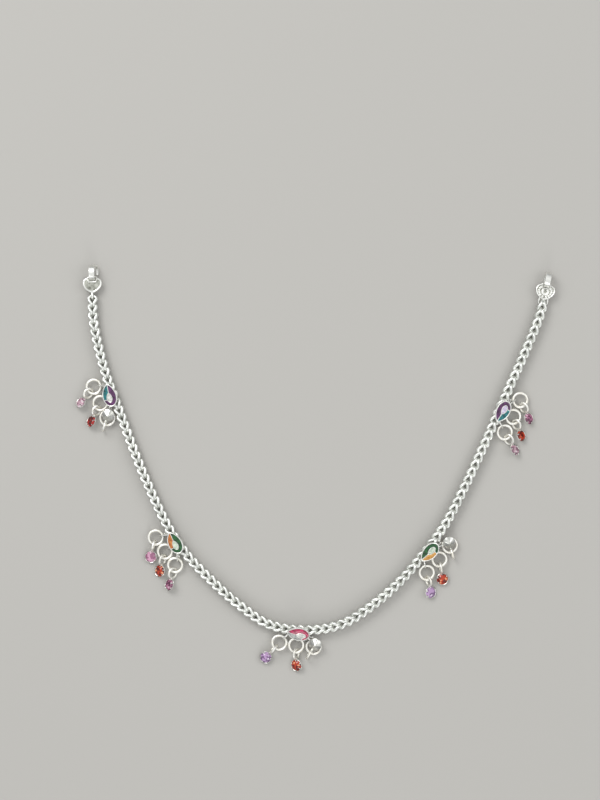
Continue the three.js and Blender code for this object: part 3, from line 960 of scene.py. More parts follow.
@dataclass
class CharmMaker:
    """Makes the mango plates, the jump rings and the stone drops."""

    route: Route
    finishes: Finishes
    chain_top: float = 3.2
    chain_width: float = 3.2
    plate_length: float = 7.0
    plate_width: float = 4.4
    plate_thickness: float = 0.8
    plate_shift: float = -0.3
    plate_turn: float = 11
    seat_gap: float = 0.2
    rim: float = 0.36
    cell_depth: float = 0.25
    tear_width: float = 0.4
    tear_length: float = 0.44
    eyelet_wire: float = 0.42
    eyelet_spread: float = 4.3
    eyelet_height: float = 1.5
    first_charm_at: float = 30.6
    charm_spacing: float = 47.25
    ring_diameter: float = 4.9
    ring_wire: float = 0.66
    bail_diameter: float = 3.64
    bail_wire: float = 0.62
    drop_reach: float = 2.5
    cup_diameter: float = 3.9
    cup_depth: float = 1.2
    table_diameter: float = 2.2
    crown_height: float = 0.62
    solder_depth: float = 0.16
    running_gap: float = 0.1
    floor_gap: float = 0.01
    fullness: float = 0.04
    ring_flat: float = 1.08
    prongs: int = 6
    prong_wire: float = 0.32
    prong_tip: float = 0.2
    side_points: int = 16
    ring_steps: int = 40
    bail_steps: int = 32
    cup_steps: int = 32
    edge_round: float = 0.06
    edge_rise: float = 0.07
    wall_drop: float = 0.15
    wall_wire: float = 0.24
    glaze_edge: float = 0.05
    glaze_crown: float = 0.13
    swing_gap: float = 0.03
    low_lift: float = 0.05
    shoulder_share: float = 0.16
    ring_sag: float = 0.55

    def __post_init__(self) -> None:
        """Work out the sizes that follow from others."""
        self.shoulder = self.chain_width * self.shoulder_share
        self.eyelet_half = self.ring_wire / 2 + self.eyelet_wire / 2
        self.eyelet_half += self.running_gap + self.swing_gap
        self.eyelet_shoulder = self.eyelet_height + self.ring_wire * 0.75
        self.eyelet_reach = (
            self.chain_width / 2 + self.eyelet_wire / 2 + self.running_gap * 1.5 + self.eyelet_half)
        self.ring_radius = (self.ring_diameter - self.ring_wire) / 2
        self.bail_radius = (self.bail_diameter - self.bail_wire) / 2
        self.bail_to_stone = self.bail_diameter / 2 + self.cup_diameter / 2 - self.solder_depth
        self.link_clearance = self.ring_wire / 2 + self.bail_wire / 2 + self.running_gap

    def mango(self, inset: float, count: int) -> list[Vector]:
        """Draw the mango outline inside the plate's edge, from its tip along the outer side.

        Args:
            inset: How far inside the plate's edge.
            count: Points on each of its three sides.

        Returns:
            The outline's points.
        """
        sides = (
            ((0.1, -1), (0.85, -0.75), (1.15, -0.1), (0.9, 0.42)),
            ((0.9, 0.42), (0.65, 0.95), (-0.35, 1.28), (-0.85, 0.62)),
            ((-0.85, 0.62), (-1.25, 0.1), (-0.75, -0.72), (0.1, -1)),
        )
        half_x = self.plate_width / 2 - inset
        half_y = self.plate_length / 2 - inset
        return [Vector((x * half_x, y * half_y, 0)) for x, y in curve_points(sides, count)]

    def plate_frame(self, charm: Charm) -> Matrix:
        """Give the plate's place on the chain's outer shoulder.

        Args:
            charm: The station's charm.

        Returns:
            The plate's matrix in the station's frame.
        """
        seat = Matrix.Translation((self.shoulder, self.plate_shift, self.chain_top + self.seat_gap))
        turn = Matrix.Rotation(math.radians(charm.lean), 4, "Y")
        slide = Matrix.Translation((charm.reach - self.shoulder, 0, 0))
        return seat @ turn @ slide @ Matrix.Rotation(math.radians(-self.plate_turn), 4, "Z")

    def teardrop(self, inside: Ring, charm: Charm) -> Ring:
        """Draw the teardrop cell, small and near the plate's round end.

        Args:
            inside: The line inside the plate's rim.
            charm: The charm's row.

        Returns:
            The teardrop's outline, point for point with the line.
        """
        points = []
        for point in inside:
            across = charm.tear_out + point.x * self.tear_width
            points.append(Vector((across, charm.tear_along + point.y * self.tear_length, 0)))
        return points

    def plate(self, charm: Charm, number: int, frame_here: Matrix) -> None:
        """Make one enamelled plate with its eyelets.

        Args:
            charm: The charm's row.
            number: Its number from the hook end.
            frame_here: The chain's frame at the charm.
        """
        count = self.side_points
        shape = Shape()
        floor = self.plate_thickness - self.cell_depth
        edge = self.mango(0.0, count)
        rounded = self.mango(self.edge_round, count)
        up = Vector((0, 0, 1))
        shape.skin([
            rounded,
            [point + up * self.edge_rise for point in edge],
            [point + up * (floor - self.edge_round) for point in edge],
            [point + up * floor for point in rounded],
        ], False)
        rim_inset, rim_sunk, rim_radius = self.rim * 0.45, self.rim * 0.42, self.rim * 0.46
        rim_path = [point + up * (self.plate_thickness - rim_sunk)
                    for point in self.mango(rim_inset, count)]
        shape.wire(rim_path, rim_radius, THIN_SIDES, True)
        inside = self.mango(self.rim * 0.8, count)
        tear = self.teardrop(inside, charm)
        self.fill(shape, inside, tear, floor, count)
        wall = self.plate_thickness - self.wall_drop
        wall_radius, wall_sides, wall_steps = self.wall_wire / 2, 6, 4
        shape.wire([point + up * wall for point in tear], wall_radius, wall_sides, True)
        for corner in (0, count):
            line = [inside[corner].lerp(tear[corner], step / wall_steps) + up * wall
                    for step in range(wall_steps + 1)]
            shape.wire(line, wall_radius, wall_sides, False)
        shape.place(self.plate_frame(charm))
        for drop in charm.drops:
            path = smooth_path(self.eyelet_corners(drop, charm), PATH_STEPS, False)
            shape.wire(path, self.eyelet_wire / 2, WIRE_SIDES, False)
            if drop.eyelet:
                # Solder where an outer staple leaves the plate
                solder = self.eyelet_wire * 0.75
                shape.ball(path[len(path) // 6], solder)
        shape.place(frame_here)
        materials = [self.finishes.cast, self.finishes.enamel(charm.crescent),
                     self.finishes.enamel(charm.hook_band), self.finishes.enamel(charm.teardrop)]
        piece = shape.finish(f"mango_plate_{number}", materials)
        settle(piece, "enamelled_silver", f"charm_plate_{number}")

    def fill(self, shape: Shape, inside: Ring, tear: Ring, floor: float, count: int) -> None:
        """Fill the cells between the rim and the teardrop with enamel, crowned a little.

        Args:
            shape: The plate's shape.
            inside: The line inside the rim.
            tear: The teardrop's outline.
            floor: The cells' floor height.
            count: Points on each side of the mango.
        """
        up = Vector((0, 0, 1))
        full = len(inside)
        bed = floor - self.glaze_edge
        edge, crown = floor + self.glaze_edge, floor + self.glaze_crown
        heights = ((0.0, edge), (0.3, crown), (0.7, crown), (1.0, edge))
        for first, last, slot in ((0, count, 1), (count, full, 2)):
            rings = []
            for index in range(first, last + 1):
                outer, inner = inside[index % full], tear[index % full]
                top = [outer.lerp(inner, share) + up * height for share, height in heights]
                bottom = [inner + up * bed, outer + up * bed]
                rings.append(top + bottom)
            shape.skin(rings, False, slot)
        centre = sum(tear, Vector()) / full
        domed = ((1.0, bed), (1.0, edge), (0.7, floor + 0.16), (0.25, floor + 0.2))
        crowned = []
        for share, height in domed:
            crowned.append([centre.lerp(point, share) + up * height for point in tear])
        shape.skin(crowned, False, 3)

    def eyelet_corners(self, drop: Drop, charm: Charm) -> list[Vector]:
        """Give the corners of the staple that carries a jump ring.

        Args:
            drop: The drop that hangs there.
            charm: The charm's row.

        Returns:
            The corners from the plate, round the ring and back.
        """
        along = drop.eyelet * self.eyelet_spread
        root_share, edge_share, bite_share = 0.41, 0.4, 0.35
        root_along = drop.eyelet * self.plate_length * root_share
        root = self.plate_shift + root_along
        middle = charm.reach + root_along * math.sin(math.radians(self.plate_turn))
        edge = charm.reach + self.plate_width * edge_share
        centre = drop.eyelet == 0
        root_in = edge - self.eyelet_half if centre else middle + self.eyelet_wire * 0.7
        root_out = edge if centre else middle + self.eyelet_wire * 1.5
        out_x = math.cos(math.radians(drop.swing)) * self.eyelet_half
        out_y = math.sin(math.radians(drop.swing)) * self.eyelet_half
        low = self.eyelet_height - self.ring_wire / 2 - self.eyelet_wire / 2
        low = low - self.running_gap * 1.6 + self.low_lift
        bite = self.plate_thickness * bite_share

        def under(x: float) -> float:
            fall = (x - self.shoulder) * math.tan(math.radians(charm.lean))
            return self.chain_top + self.seat_gap - fall

        shoulder = self.eyelet_shoulder
        reach = self.eyelet_reach
        return [
            Vector((root_in, root, under(root_in) + bite)),
            Vector((reach - out_x, along - out_y, shoulder)),
            Vector((reach - out_x * 0.7, along - out_y * 0.7, low)),
            Vector((reach + out_x * 0.7, along + out_y * 0.7, low)),
            Vector((reach + out_x, along + out_y, shoulder)),
            Vector((root_out, root, under(root_out) + bite)),
        ]

    def ring_frame(self, drop: Drop, far: float) -> Matrix:
        """Give a jump ring's frame, its X from the eyelet to its far side at the height given.

        Args:
            drop: The drop that the ring holds.
            far: The height of the ring's far side.

        Returns:
            The frame in the charm's own frame.
        """
        swing = level(drop.swing)
        slope_way = (swing + level(drop.heading)).normalized()
        fall = (far - self.eyelet_height) / (2 * self.ring_radius * slope_way.dot(swing))
        normal = Vector((-fall * slope_way.x, -fall * slope_way.y, 1)).normalized()
        first = Vector((swing.x, swing.y, fall * slope_way.dot(swing))).normalized()
        centre = Vector((self.eyelet_reach, drop.eyelet * self.eyelet_spread, 0))
        centre += swing * self.ring_radius
        centre.z = (self.eyelet_height + far) / 2
        return basis(first, normal.cross(first), normal, centre)

    def drop_turn(self, drop: Drop, pitch: float) -> Matrix:
        """Turn a drop by its heading, its pitch and its roll.

        Args:
            drop: The drop.
            pitch: How far its cup end dips, in radians.

        Returns:
            The turn's matrix.
        """
        hand = -1 if drop.heading < 0 else 1
        roll = math.radians(180 if drop.flipped else 90 - drop.tilt) * hand
        facing = math.radians(drop.heading + (180 if drop.flipped else 0))
        turn = Matrix.Rotation(facing, 4, "Z") @ Matrix.Rotation(-pitch, 4, "Y")
        return turn @ Matrix.Rotation(roll, 4, "X")

    def rest_heights(self, turn: Matrix) -> tuple[float, float]:
        """Find how high the bail's and the stone's middles lie on the surface.

        Args:
            turn: The drop's turn.

        Returns:
            The bail's height and the stone's.
        """
        ring_across, face = turn[2][1], turn[2][2]
        bail = self.bail_radius * math.sqrt(1 - ring_across ** 2) + self.bail_wire / 2
        girdle = self.cup_diameter / 2 * math.sqrt(1 - face ** 2)
        stone = max(girdle, self.cup_depth * face)
        return bail + self.floor_gap, stone + self.floor_gap

    def drop_place(self, drop: Drop) -> tuple[float, float, float]:
        """Find a drop's pitch, its bail's height and its ring's far height, in this order.

        Args:
            drop: The drop's row.

        Returns:
            Pitch, bail height and far height.
        """
        pitch = 0.0
        bail, stone = self.rest_heights(self.drop_turn(drop, pitch))
        over_ring = self.eyelet_shoulder + self.eyelet_wire + self.crown_height
        rounds = 6
        for _ in range(rounds):
            target = over_ring if drop.flipped else stone
            pitch = math.asin((target - bail) / self.bail_to_stone)
            bail, stone = self.rest_heights(self.drop_turn(drop, pitch))
        across = self.drop_turn(drop, pitch)[2][1]
        slack = max(self.bail_radius * math.sqrt(1 - across ** 2) - self.link_clearance, 0)
        return pitch, bail, bail - slack * self.ring_sag

    def jump_ring(self, label: str, matrix: Matrix) -> None:
        """Make one jump ring.

        Args:
            label: The ring's station and letter.
            matrix: Where it lies.
        """
        shape = Shape()
        path = circle(self.ring_radius, self.ring_steps)
        radius = self.ring_wire / 2 + self.fullness
        shape.wire(path, radius, WIRE_SIDES, True, flat=self.ring_flat)
        shape.place(matrix)
        piece = shape.finish(f"ring_{label}", [self.finishes.rings], ROUND_SHARP)
        settle(piece, "ring_silver", f"jump_ring_{label}")

    def prong_crown(self) -> bpy.types.Mesh:
        """Set the prongs round the cup.

        Returns:
            Their mesh in millimetres, joined to nothing yet.
        """
        edge = self.cup_diameter / 2
        claw = Shape()
        path = smooth_path([
            Vector((edge * 0.14, 0, -self.cup_depth * 0.72)),
            Vector((edge * 0.57, 0, -self.cup_depth * 0.31)),
            Vector((edge * 0.9, 0, 0.06)),
            Vector((edge * 0.77, 0, 0.4)),
        ], PATH_STEPS, False)
        claw.wire(path, self.prong_wire / 2, THIN_SIDES, False)
        claw.ball(path[-1], self.prong_tip)
        claw_object = stand("claw", claw.to_mesh("claw", ROUND_SHARP))
        tree = self.prong_tree()
        seed_mesh = bpy.data.meshes.new("claw_seed")
        seed_mesh.from_pydata([(0, 0, 0)], [], [])
        carrier = stand("claw_carrier", seed_mesh)
        crown = grown(carrier, tree, {
            "Claw": claw_object, "Count": self.prongs, "Metal": self.finishes.cup})
        bpy.data.objects.remove(claw_object)
        return crown

    def prong_tree(self) -> bpy.types.NodeTree:
        """Build the tree that turns one claw into an even crown of them.

        Returns:
            The node tree.
        """
        tree, given = start_tree("Crown of prongs", {
            "Claw": "Object", "Count": "Int", "Metal": "Material"})
        spots = add_node(
            tree, "GeometryNodeMeshLine", settings={"mode": "OFFSET"},
            values={"Offset": (0.0, 0.0, 0.0)}, links={"Count": given.outputs["Count"]},
        )
        number = add_node(tree, "GeometryNodeInputIndex")
        share = add_node(
            tree, "ShaderNodeMath", settings={"operation": "DIVIDE"},
            links={0: number.outputs[0], 1: given.outputs["Count"]},
        )
        turn = add_node(
            tree, "ShaderNodeMath", settings={"operation": "MULTIPLY"},
            values={1: 2 * math.pi}, links={0: share.outputs[0]},
        )
        spin = add_node(tree, "ShaderNodeCombineXYZ", links={"Z": turn.outputs[0]})
        hang_copies(tree, given, spots.outputs[0], "Claw", spin.outputs[0])
        return tree

    def stone(self, shape: Shape) -> None:
        """Cut the stone: an eight-sided table, stars, kites and girdle facets over a cone.

        Args:
            shape: The drop's shape, in its own frame with the stone at the origin.
        """
        girdle_inset, table_inset, crown_drop, girdle_height = 0.3, 0.06, 0.03, 0.08
        star_share, culet_share = 0.62, 0.72
        girdle = self.cup_diameter / 2 - girdle_inset
        table = self.table_diameter / 2 - table_inset
        top = self.crown_height - crown_drop
        mesh = shape.mesh
        before = set(mesh.faces)

        def spot(radius: float, turn: float, height: float) -> bmesh.types.BMVert:
            angle = math.pi / 4 * turn
            return mesh.verts.new((radius * math.cos(angle), radius * math.sin(angle), height))

        tables = [spot(table, index, top) for index in range(8)]
        between = (table + girdle) / 2
        stars = [spot(between, index + 0.5, top * star_share) for index in range(8)]
        mains = [spot(girdle, index, girdle_height) for index in range(8)]
        halves = [spot(girdle, index + 0.5, girdle_height) for index in range(8)]
        culet = mesh.verts.new((0, 0, -self.cup_depth * culet_share))
        mesh.faces.new(tables)
        for index in range(8):
            ahead = (index + 1) % 8
            mesh.faces.new((tables[index], stars[index], tables[ahead]))
            mesh.faces.new((tables[index], stars[index - 1], mains[index], stars[index]))
            mesh.faces.new((stars[index], mains[index], halves[index]))
            mesh.faces.new((stars[index], halves[index], mains[ahead]))
            mesh.faces.new((culet, halves[index], mains[index]))
            mesh.faces.new((culet, mains[ahead], halves[index]))
        for face in mesh.faces:
            if face not in before:
                face.material_index = 1

    def drop(self, drop: Drop, label: str, matrix: Matrix, crown: bpy.types.Mesh) -> None:
        """Make one drop: bail, cup, prongs and stone.

        Args:
            drop: The drop's row.
            label: Its charm's number and its letter.
            matrix: Its place.
            crown: The prongs' mesh.
        """
        edge = self.cup_diameter / 2
        deep = self.cup_depth
        shape = Shape()
        # The cup's skin from its tip up to the rim, then down inside under the stone
        shape.turned([
            (0.1, -deep * 0.91), (edge * 0.14, -deep * 0.82), (edge * 0.3, -deep * 0.67),
            (edge * 0.62, -deep * 0.34), (edge * 0.85, -0.12), (edge * 0.96, 0.04),
            (edge * 0.9, 0.14), (edge * 0.83, 0.06), (edge * 0.7, -0.16),
            (edge * 0.25, -deep * 0.6),
        ], self.cup_steps)
        back = Vector((self.bail_to_stone, 0, 0))
        bail = [Vector((point.x, 0, point.y)) - back
                for point in circle(self.bail_radius, self.bail_steps)]
        neck_out, neck_down, neck_radius = 0.02, 0.1, 0.42
        shape.ball(Vector((-edge - neck_out, 0, -neck_down)), neck_radius)
        shape.take(crown)
        for face in shape.mesh.faces:
            face.material_index = 0
        shape.wire(bail, self.bail_wire / 2 + self.fullness, WIRE_SIDES, True, slot=2)
        self.stone(shape)
        shape.place(matrix)
        materials = [self.finishes.cup, self.finishes.stone(drop.tint), self.finishes.rings]
        piece = shape.finish(f"drop_{label}", materials, CUT_SHARP)
        settle(piece, "set_stone", f"stone_drop_{label}")

    def build(self) -> None:
        """Make every charm with its rings and drops."""
        crown = self.prong_crown()
        letters = {-1: "a", 0: "b", 1: "c"}
        for index, charm in enumerate(CHARMS):
            along = self.first_charm_at + index * self.charm_spacing + charm.shift
            here = self.route.frame(along)
            self.plate(charm, index + 1, here)
            for drop in charm.drops:
                label = f"{index + 1}{letters[drop.eyelet]}"
                pitch, bail, far = self.drop_place(drop)
                ring = self.ring_frame(drop, far)
                self.jump_ring(label, here @ ring)
                centre = ring.translation + level(drop.heading) * self.drop_reach
                centre.z = bail
                turn = self.drop_turn(drop, pitch)
                stone_at = centre + turn.to_3x3() @ Vector((self.bail_to_stone, 0, 0))
                self.drop(drop, label, here @ Matrix.Translation(stone_at) @ turn, crown)


def level(degrees: float) -> Vector:
    """Give a level direction by its angle."""
    angle = math.radians(degrees)
    return Vector((math.cos(angle), math.sin(angle), 0))


def circle(radius: float, count: int) -> list[Vector]:
    """Give the points of a level circle."""
    return [level(360 * index / count) * radius for index in range(count)]


@dataclass
class EndPieces:
    """The heart caps with their lugs, the hook and the closing ring."""

    route: Route
    chain: LinkChain
    finishes: Finishes
    heart_width: float = 5.7
    heart_length: float = 4.7
    heart_thickness: float = 1.1
    heart_height: float = 2.05
    band_diameter: float = 4.7
    band_width: float = 1.8
    band_thickness: float = 0.6
    tongue_width: float = 0.8
    slot_gap: float = 0.12
    notch_depth: float = 1.05
    lug_wire: float = 0.6
    tip_radius: float = 0.52
    notch_bar_wire: float = 0.46
    cap_gap: float = 0.12
    link_wire: float = 0.66
    arch_overrun: float = 0.3
    fold_reach: float = 0.6006
    chain_height: float = 1.6
    running_gap: float = 0.1
    floor_gap: float = 0.01
    arch_gap: float = 0.01
    lobe_steps: int = 12
    band_steps: int = 56
    band_round: float = 0.12
    relief: float = 0.3
    bevel: float = 0.18
    plain_rim: float = 0.3
    grained_rim: float = 0.2
    grains: tuple[tuple[float, float], ...] = ((0.66, 0.42), (0.3, 0.44))
    grain_squash: float = 0.75
    tip_ball_at: float = 0.25

    def __post_init__(self) -> None:
        """Work out the sizes that follow from others."""
        self.hook_tip = self.arch_overrun + self.link_wire / 2 + self.cap_gap
        self.ring_tip = self.fold_reach + self.link_wire / 2 + self.cap_gap
        self.notch_width = self.band_width + 2 * self.slot_gap
        self.notch_at = self.heart_length - self.notch_depth
        self.band_radius = (self.band_diameter - self.band_thickness) / 2
        band_middle = self.notch_at + self.slot_gap + self.band_thickness / 2
        self.band_centre = band_middle + self.band_radius
        self.rise = self.band_radius + self.band_thickness / 2 + self.floor_gap

    def heart_outline(self) -> Ring:
        """Draw the heart with its square notch.

        Returns:
            The outline, from the tip round one lobe and back by the other.
        """
        wide, long = self.heart_width / 2, self.heart_length
        sides = (
            ((0, 0), (0.1, 0.62), (0.36, 1.04), (0.68, 1)),
            ((0.68, 1), (0.94, 0.96), (1.08, 0.48), (0.9, 0)),
        )
        half = [(x * long, y * wide) for x, y in curve_points(sides, self.lobe_steps)]
        edge = self.notch_width / 2
        sides_end = 0.72 * long
        lobe = [point for point in half if point[0] < sides_end or point[1] > edge]
        lobe += [(lobe[-1][0], edge), (self.notch_at, edge)]
        points = lobe + [(x, -y) for x, y in reversed(lobe[1:])]
        return [Vector((x, y, 0)) for x, y in points]

    def heart_rim(self, outline: Ring, inset: float, height: float) -> Ring:
        """Move the outline inwards, for the raised rim.

        Args:
            outline: The heart's outline.
            inset: How far inwards.
            height: The rim's height.

        Returns:
            The rim's path.
        """
        count = len(outline)
        path = []
        for index, point in enumerate(outline):
            along = (outline[(index + 1) % count] - outline[index - 1]).normalized()
            inwards = Vector((-along.y, along.x, 0)) * -inset
            path.append(point + inwards + Vector((0, 0, height)))
        return path

    def heart(self, lug: list[Vector], tip: float, bumps: bool) -> Shape:
        """Make a heart cap whose tip lies off the chain, with its notch bar and its lug.

        Args:
            lug: The lug's path from the chain's last link.
            tip: How far the heart's tip lies from that link.
            bumps: Whether grains are raised inside the rim.

        Returns:
            The cap's shape in the end's own frame.
        """
        plate = bmesh.new()
        outline = self.heart_outline()
        low = self.heart_height - self.heart_thickness / 2
        face = plate.faces.new([plate.verts.new(point + Vector((0, 0, low))) for point in outline])
        extruded = bmesh.ops.extrude_face_region(plate, geom=[face])["geom"]
        raised = [item for item in extruded if isinstance(item, bmesh.types.BMVert)]
        dish = self.heart_thickness - self.relief
        bmesh.ops.translate(plate, vec=(0, 0, dish), verts=raised)
        bmesh.ops.recalc_face_normals(plate, faces=plate.faces)
        steep, nearly_level = 0.6, 0.98
        sharp = [edge for edge in plate.edges if edge.calc_face_angle(0) > steep]
        bmesh.ops.bevel(
            plate, geom=sharp, offset=self.bevel, segments=3, affect="EDGES", clamp_overlap=True)
        for side in plate.faces:
            side.material_index = 1 if side.normal.z > nearly_level else 0
        mesh = bpy.data.meshes.new("heart")
        plate.to_mesh(mesh)
        plate.free()
        shape = Shape()
        shape.take(mesh)
        bar = smooth_path(self.notch_bar(), PATH_STEPS, False)
        shape.wire(bar, self.notch_bar_wire / 2, WIRE_SIDES, False)
        rim = self.grained_rim if bumps else self.plain_rim
        top = self.heart_height + self.heart_thickness / 2
        shape.wire(self.heart_rim(outline, rim, top - rim), rim, THIN_SIDES, True)
        if bumps:
            middle = Vector((self.heart_length * 0.5, 0, 0))
            height = Vector((0, 0, top - self.relief))
            # Rows of grains under every third point of both lobes, clear of the notch
            lobes = outline[2:22:3] + outline[-20:-1:3]
            for share, grain in self.grains:
                for point in lobes:
                    if point.x < self.notch_at or abs(point.y) > self.notch_width:
                        spot = middle.lerp(point, share) + height
                        shape.ball(spot, grain, squash=self.grain_squash)
        shape.ball(Vector((self.tip_ball_at, 0, self.heart_height)), self.tip_radius)
        shape.place(Matrix.Translation((tip, 0, 0)))
        shape.wire(smooth_path(lug, PATH_STEPS, False), self.lug_wire / 2, WIRE_SIDES, False)
        return shape

    def notch_bar(self) -> list[Vector]:
        """Give the path of the bar across the notch.

        Returns:
            The path's corners.
        """
        wire = self.notch_bar_wire
        reach = self.notch_at + 2 * self.slot_gap + self.band_thickness + wire / 2
        root = self.notch_at + self.notch_depth * 0.4
        side = self.notch_width / 2 + wire / 2
        height = self.heart_height
        return [
            Vector((root, side + wire * 0.5, height)),
            Vector((reach, side, height)),
            Vector((reach, -side, height)),
            Vector((root, -side - wire * 0.5, height)),
        ]

    def arch_lug(self) -> list[Vector]:
        """Give the path of the lug that stands up through the first link's arches.

        Returns:
            The path's corners.
        """
        arch = self.link_wire / 2 + self.arch_gap
        clear = arch + self.link_wire / 2 + self.lug_wire / 2 + self.running_gap
        inside = self.link_wire / 2 + self.lug_wire / 2 + self.running_gap
        root = self.hook_tip + self.heart_length * 0.2
        high, low = self.chain_height + clear, self.chain_height - clear
        return [
            Vector((root, 0, self.heart_height)),
            Vector((inside, 0, high)),
            Vector((-inside, 0, high)),
            Vector((-inside, 0, low)),
            Vector((inside, 0, low)),
            Vector((root, 0, self.heart_height - self.heart_thickness * 0.2)),
        ]

    def fold_lug(self) -> list[Vector]:
        """Give the path of the lug that lies flat through the last link's fold.

        Returns:
            The path's corners.
        """
        beside = self.chain.pinch + self.link_wire / 2 + self.lug_wire / 2 + self.running_gap
        bar = self.fold_reach - self.link_wire / 2 - self.lug_wire / 2 - self.running_gap
        root = self.ring_tip + self.heart_length * 0.36
        height = self.heart_height - self.heart_thickness * 0.25
        return [
            Vector((root, beside, height)),
            Vector((bar, beside, self.chain_height)),
            Vector((bar, -beside, self.chain_height)),
            Vector((root, -beside, height)),
        ]

    def band_section(self, angle: float, aside: float, half: float) -> Ring:
        """Give the band's rounded section of half a width, at an angle about its axis.

        Args:
            angle: The angle about the band's axis, in radians.
            aside: How far the section lies to the side, in mm.
            half: Half the band's width there.

        Returns:
            The section's points.
        """
        radius_way = Vector((math.cos(angle), 0, math.sin(angle)))
        across = Vector((0, 1, 0))
        centre = Vector((self.band_centre, aside, self.rise)) + radius_way * self.band_radius
        thick = self.band_thickness / 2
        near, low = half - self.band_round, thick - self.band_round
        corners = (
            (-near, -thick), (near, -thick), (half, -low), (half, low), (near, thick),
            (0.0, thick), (-near, thick), (-half, low), (-half, -low),
        )
        return [centre + across * x + radius_way * y for x, y in corners]

    def hook(self) -> Shape:
        """Make the hook: over the top from the notch, then back below as a tongue beside it.

        Returns:
            The hook's shape in the end's own frame.
        """
        start_angle, end_angle = 225, -110
        narrows_at, narrows_over = 0.55, 0.25
        offset = -(self.band_width / 2 + self.tongue_width / 2 + self.slot_gap)
        rings = []
        for step in range(self.band_steps + 1):
            share = step / self.band_steps
            angle = math.radians(start_angle + (end_angle - start_angle) * share)
            eased = min(max((share - narrows_at) / narrows_over, 0), 1)
            bend = eased * eased * (3 - 2 * eased)
            half = (self.band_width * (1 - bend) + self.tongue_width * bend) / 2
            rings.append(self.band_section(angle, offset * bend, half))
        shape = Shape()
        shape.skin(rings, False)
        return shape

    def closing_ring(self) -> Shape:
        """Make the closed band.

        Returns:
            The ring's shape in the end's own frame.
        """
        angles = [2 * math.pi * step / self.band_steps for step in range(self.band_steps)]
        shape = Shape()
        shape.skin([self.band_section(angle, 0, self.band_width / 2) for angle in angles], True)
        return shape

    def end_frame(self, distance: float, outwards: int) -> Matrix:
        """Give the frame at an end of the chain, its X away from the chain.

        Args:
            distance: How far along the route, in mm.
            outwards: 1 where the route leads out of the chain, or -1.

        Returns:
            The frame's matrix.
        """
        point, along = self.route.at(distance)
        along = along * outwards
        return basis(along, Vector((0, 0, 1)).cross(along), Vector((0, 0, 1)), point)

    def build(self) -> None:
        """Make the four end pieces."""
        hook_end = self.end_frame(0, -1)
        ring_end = self.end_frame(self.chain.place(self.chain.count - 1), 1)
        at_hook = hook_end @ Matrix.Translation((self.hook_tip, 0, 0))
        at_ring = ring_end @ Matrix.Translation((self.ring_tip, 0, 0))
        pieces = (
            ("heart_cap_hook_end", self.heart(self.arch_lug(), self.hook_tip, False), hook_end),
            ("heart_cap_ring_end", self.heart(self.fold_lug(), self.ring_tip, True), ring_end),
            ("hook", self.hook(), at_hook),
            ("closing_ring", self.closing_ring(), at_ring),
        )
        for node, shape, matrix in pieces:
            shape.place(matrix)
            piece = shape.finish(f"{node}_fine", [self.finishes.cast, self.finishes.oxidised])
            settle(piece, "silver", node)


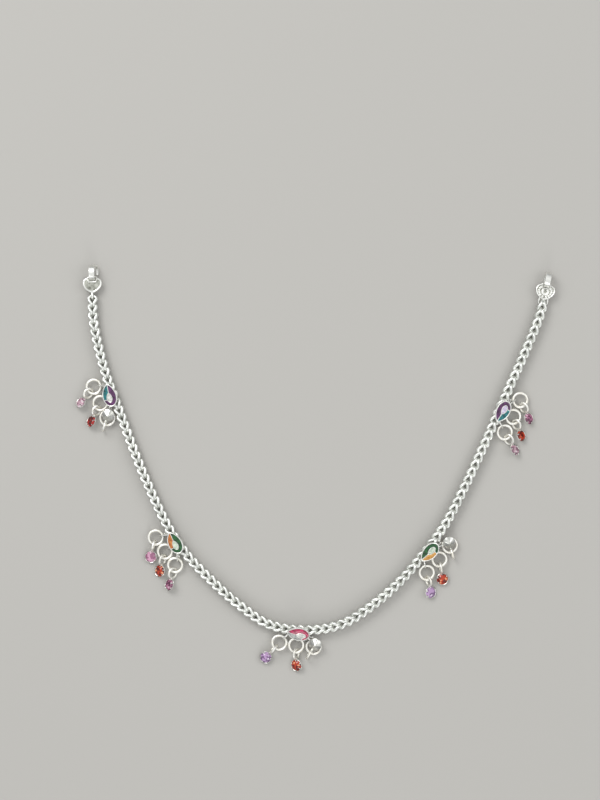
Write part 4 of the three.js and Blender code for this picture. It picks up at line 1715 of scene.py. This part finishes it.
@dataclass
class Studio:
    """The pale surface, the soft light and the camera above it."""

    photo_width: int = 600
    photo_height: int = 800
    pixel_mm: float = 0.3
    route_zero_px: tuple[float, float] = (314.0, 470.0)
    distance: float = 0.75
    sensor: float = 32.0
    clip_start: float = 0.01
    floor_half: float = 1.5
    floor_drop: float = 0.00002

    def view_middle(self) -> Vector:
        """Give the point under the middle of the picture, in metres.

        Returns:
            The point.
        """
        across = (self.photo_width / 2 - self.route_zero_px[0]) * self.pixel_mm
        upwards = (self.route_zero_px[1] - self.photo_height / 2) * self.pixel_mm
        return (Vector((across, upwards, 0)) - FOOTPRINT_MIDDLE) * MM

    def camera(self) -> None:
        """Look straight down, as the photo does."""
        tall = self.photo_height * self.pixel_mm * MM
        data = bpy.data.cameras.new("camera")
        data.sensor_fit = "VERTICAL"
        data.sensor_height = self.sensor
        data.lens = self.sensor * self.distance / tall
        data.clip_start = self.clip_start
        camera = stand("camera", data)
        middle = self.view_middle()
        camera.location = (middle.x, middle.y, self.distance)
        bpy.context.scene.camera = camera

    def floor(self) -> None:
        """Lay the pale surface."""
        mesh = bpy.data.meshes.new("surface")
        half = self.floor_half
        mesh.from_pydata([(-half, -half, 0), (half, -half, 0), (half, half, 0), (-half, half, 0)],
                         [], [(0, 1, 2, 3)])
        floor = stand("surface", mesh)
        floor.location.z = -self.floor_drop
        material = bpy.data.materials.new("Pale matte board")
        material.use_nodes = True
        shader = material.node_tree.nodes["Principled BSDF"]
        shader.inputs["Base Color"].default_value = linear("B4B2AD")
        shader.inputs["Roughness"].default_value = 0.85
        mesh.materials.append(material)

    def light(self, name: str, place: Vector, size: float, watts: float) -> None:
        """Hang one soft box that faces the anklet.

        Args:
            name: The light's name.
            place: Where it hangs, in metres.
            size: The soft box's side, in metres.
            watts: Its power.
        """
        data = bpy.data.lights.new(name, "AREA")
        data.size = size
        data.energy = watts
        lamp = stand(name, data)
        lamp.location = place
        lamp.rotation_euler = (-place).to_track_quat("-Z", "Y").to_euler()

    def world(self) -> None:
        """Surround the set with a soft grey that darkens towards the horizon."""
        world = bpy.data.worlds.new("Soft grey room")
        world.use_nodes = True
        tree = world.node_tree
        place = add_node(tree, "ShaderNodeTexCoord")
        parts = add_node(tree, "ShaderNodeSeparateXYZ", links={0: place.outputs["Generated"]})
        background = tree.nodes["Background"]
        stops = ((0.0, "6C6F74"), (0.66, "F6F7F8"))
        colour_by(tree, parts.outputs["Z"], background.inputs["Color"], stops)
        background.inputs["Strength"].default_value = 0.95
        bpy.context.scene.world = world

    def build(self) -> None:
        """Set up the whole studio."""
        self.camera()
        self.floor()
        self.light("key_box", Vector((-0.35, 0.45, 0.6)), size=0.4, watts=2.6)
        self.light("fill_box", Vector((0.5, 0.1, 0.5)), size=0.4, watts=0.6)
        self.light("low_box", Vector((0.05, -0.6, 0.35)), size=0.25, watts=0.6)
        self.world()
        bpy.context.scene.view_settings.view_transform = "Standard"


def main() -> None:
    """Build the anklet and its studio in order."""
    logging.basicConfig(level=logging.INFO, format="%(name)s %(message)s")
    finishes = Finishes()
    route = Route()
    chain = LinkChain(route, finishes.chain)
    chain.build()
    CharmMaker(route, finishes).build()
    EndPieces(route, chain, finishes).build()
    Studio().build()


if __name__ == "__main__":
    main()
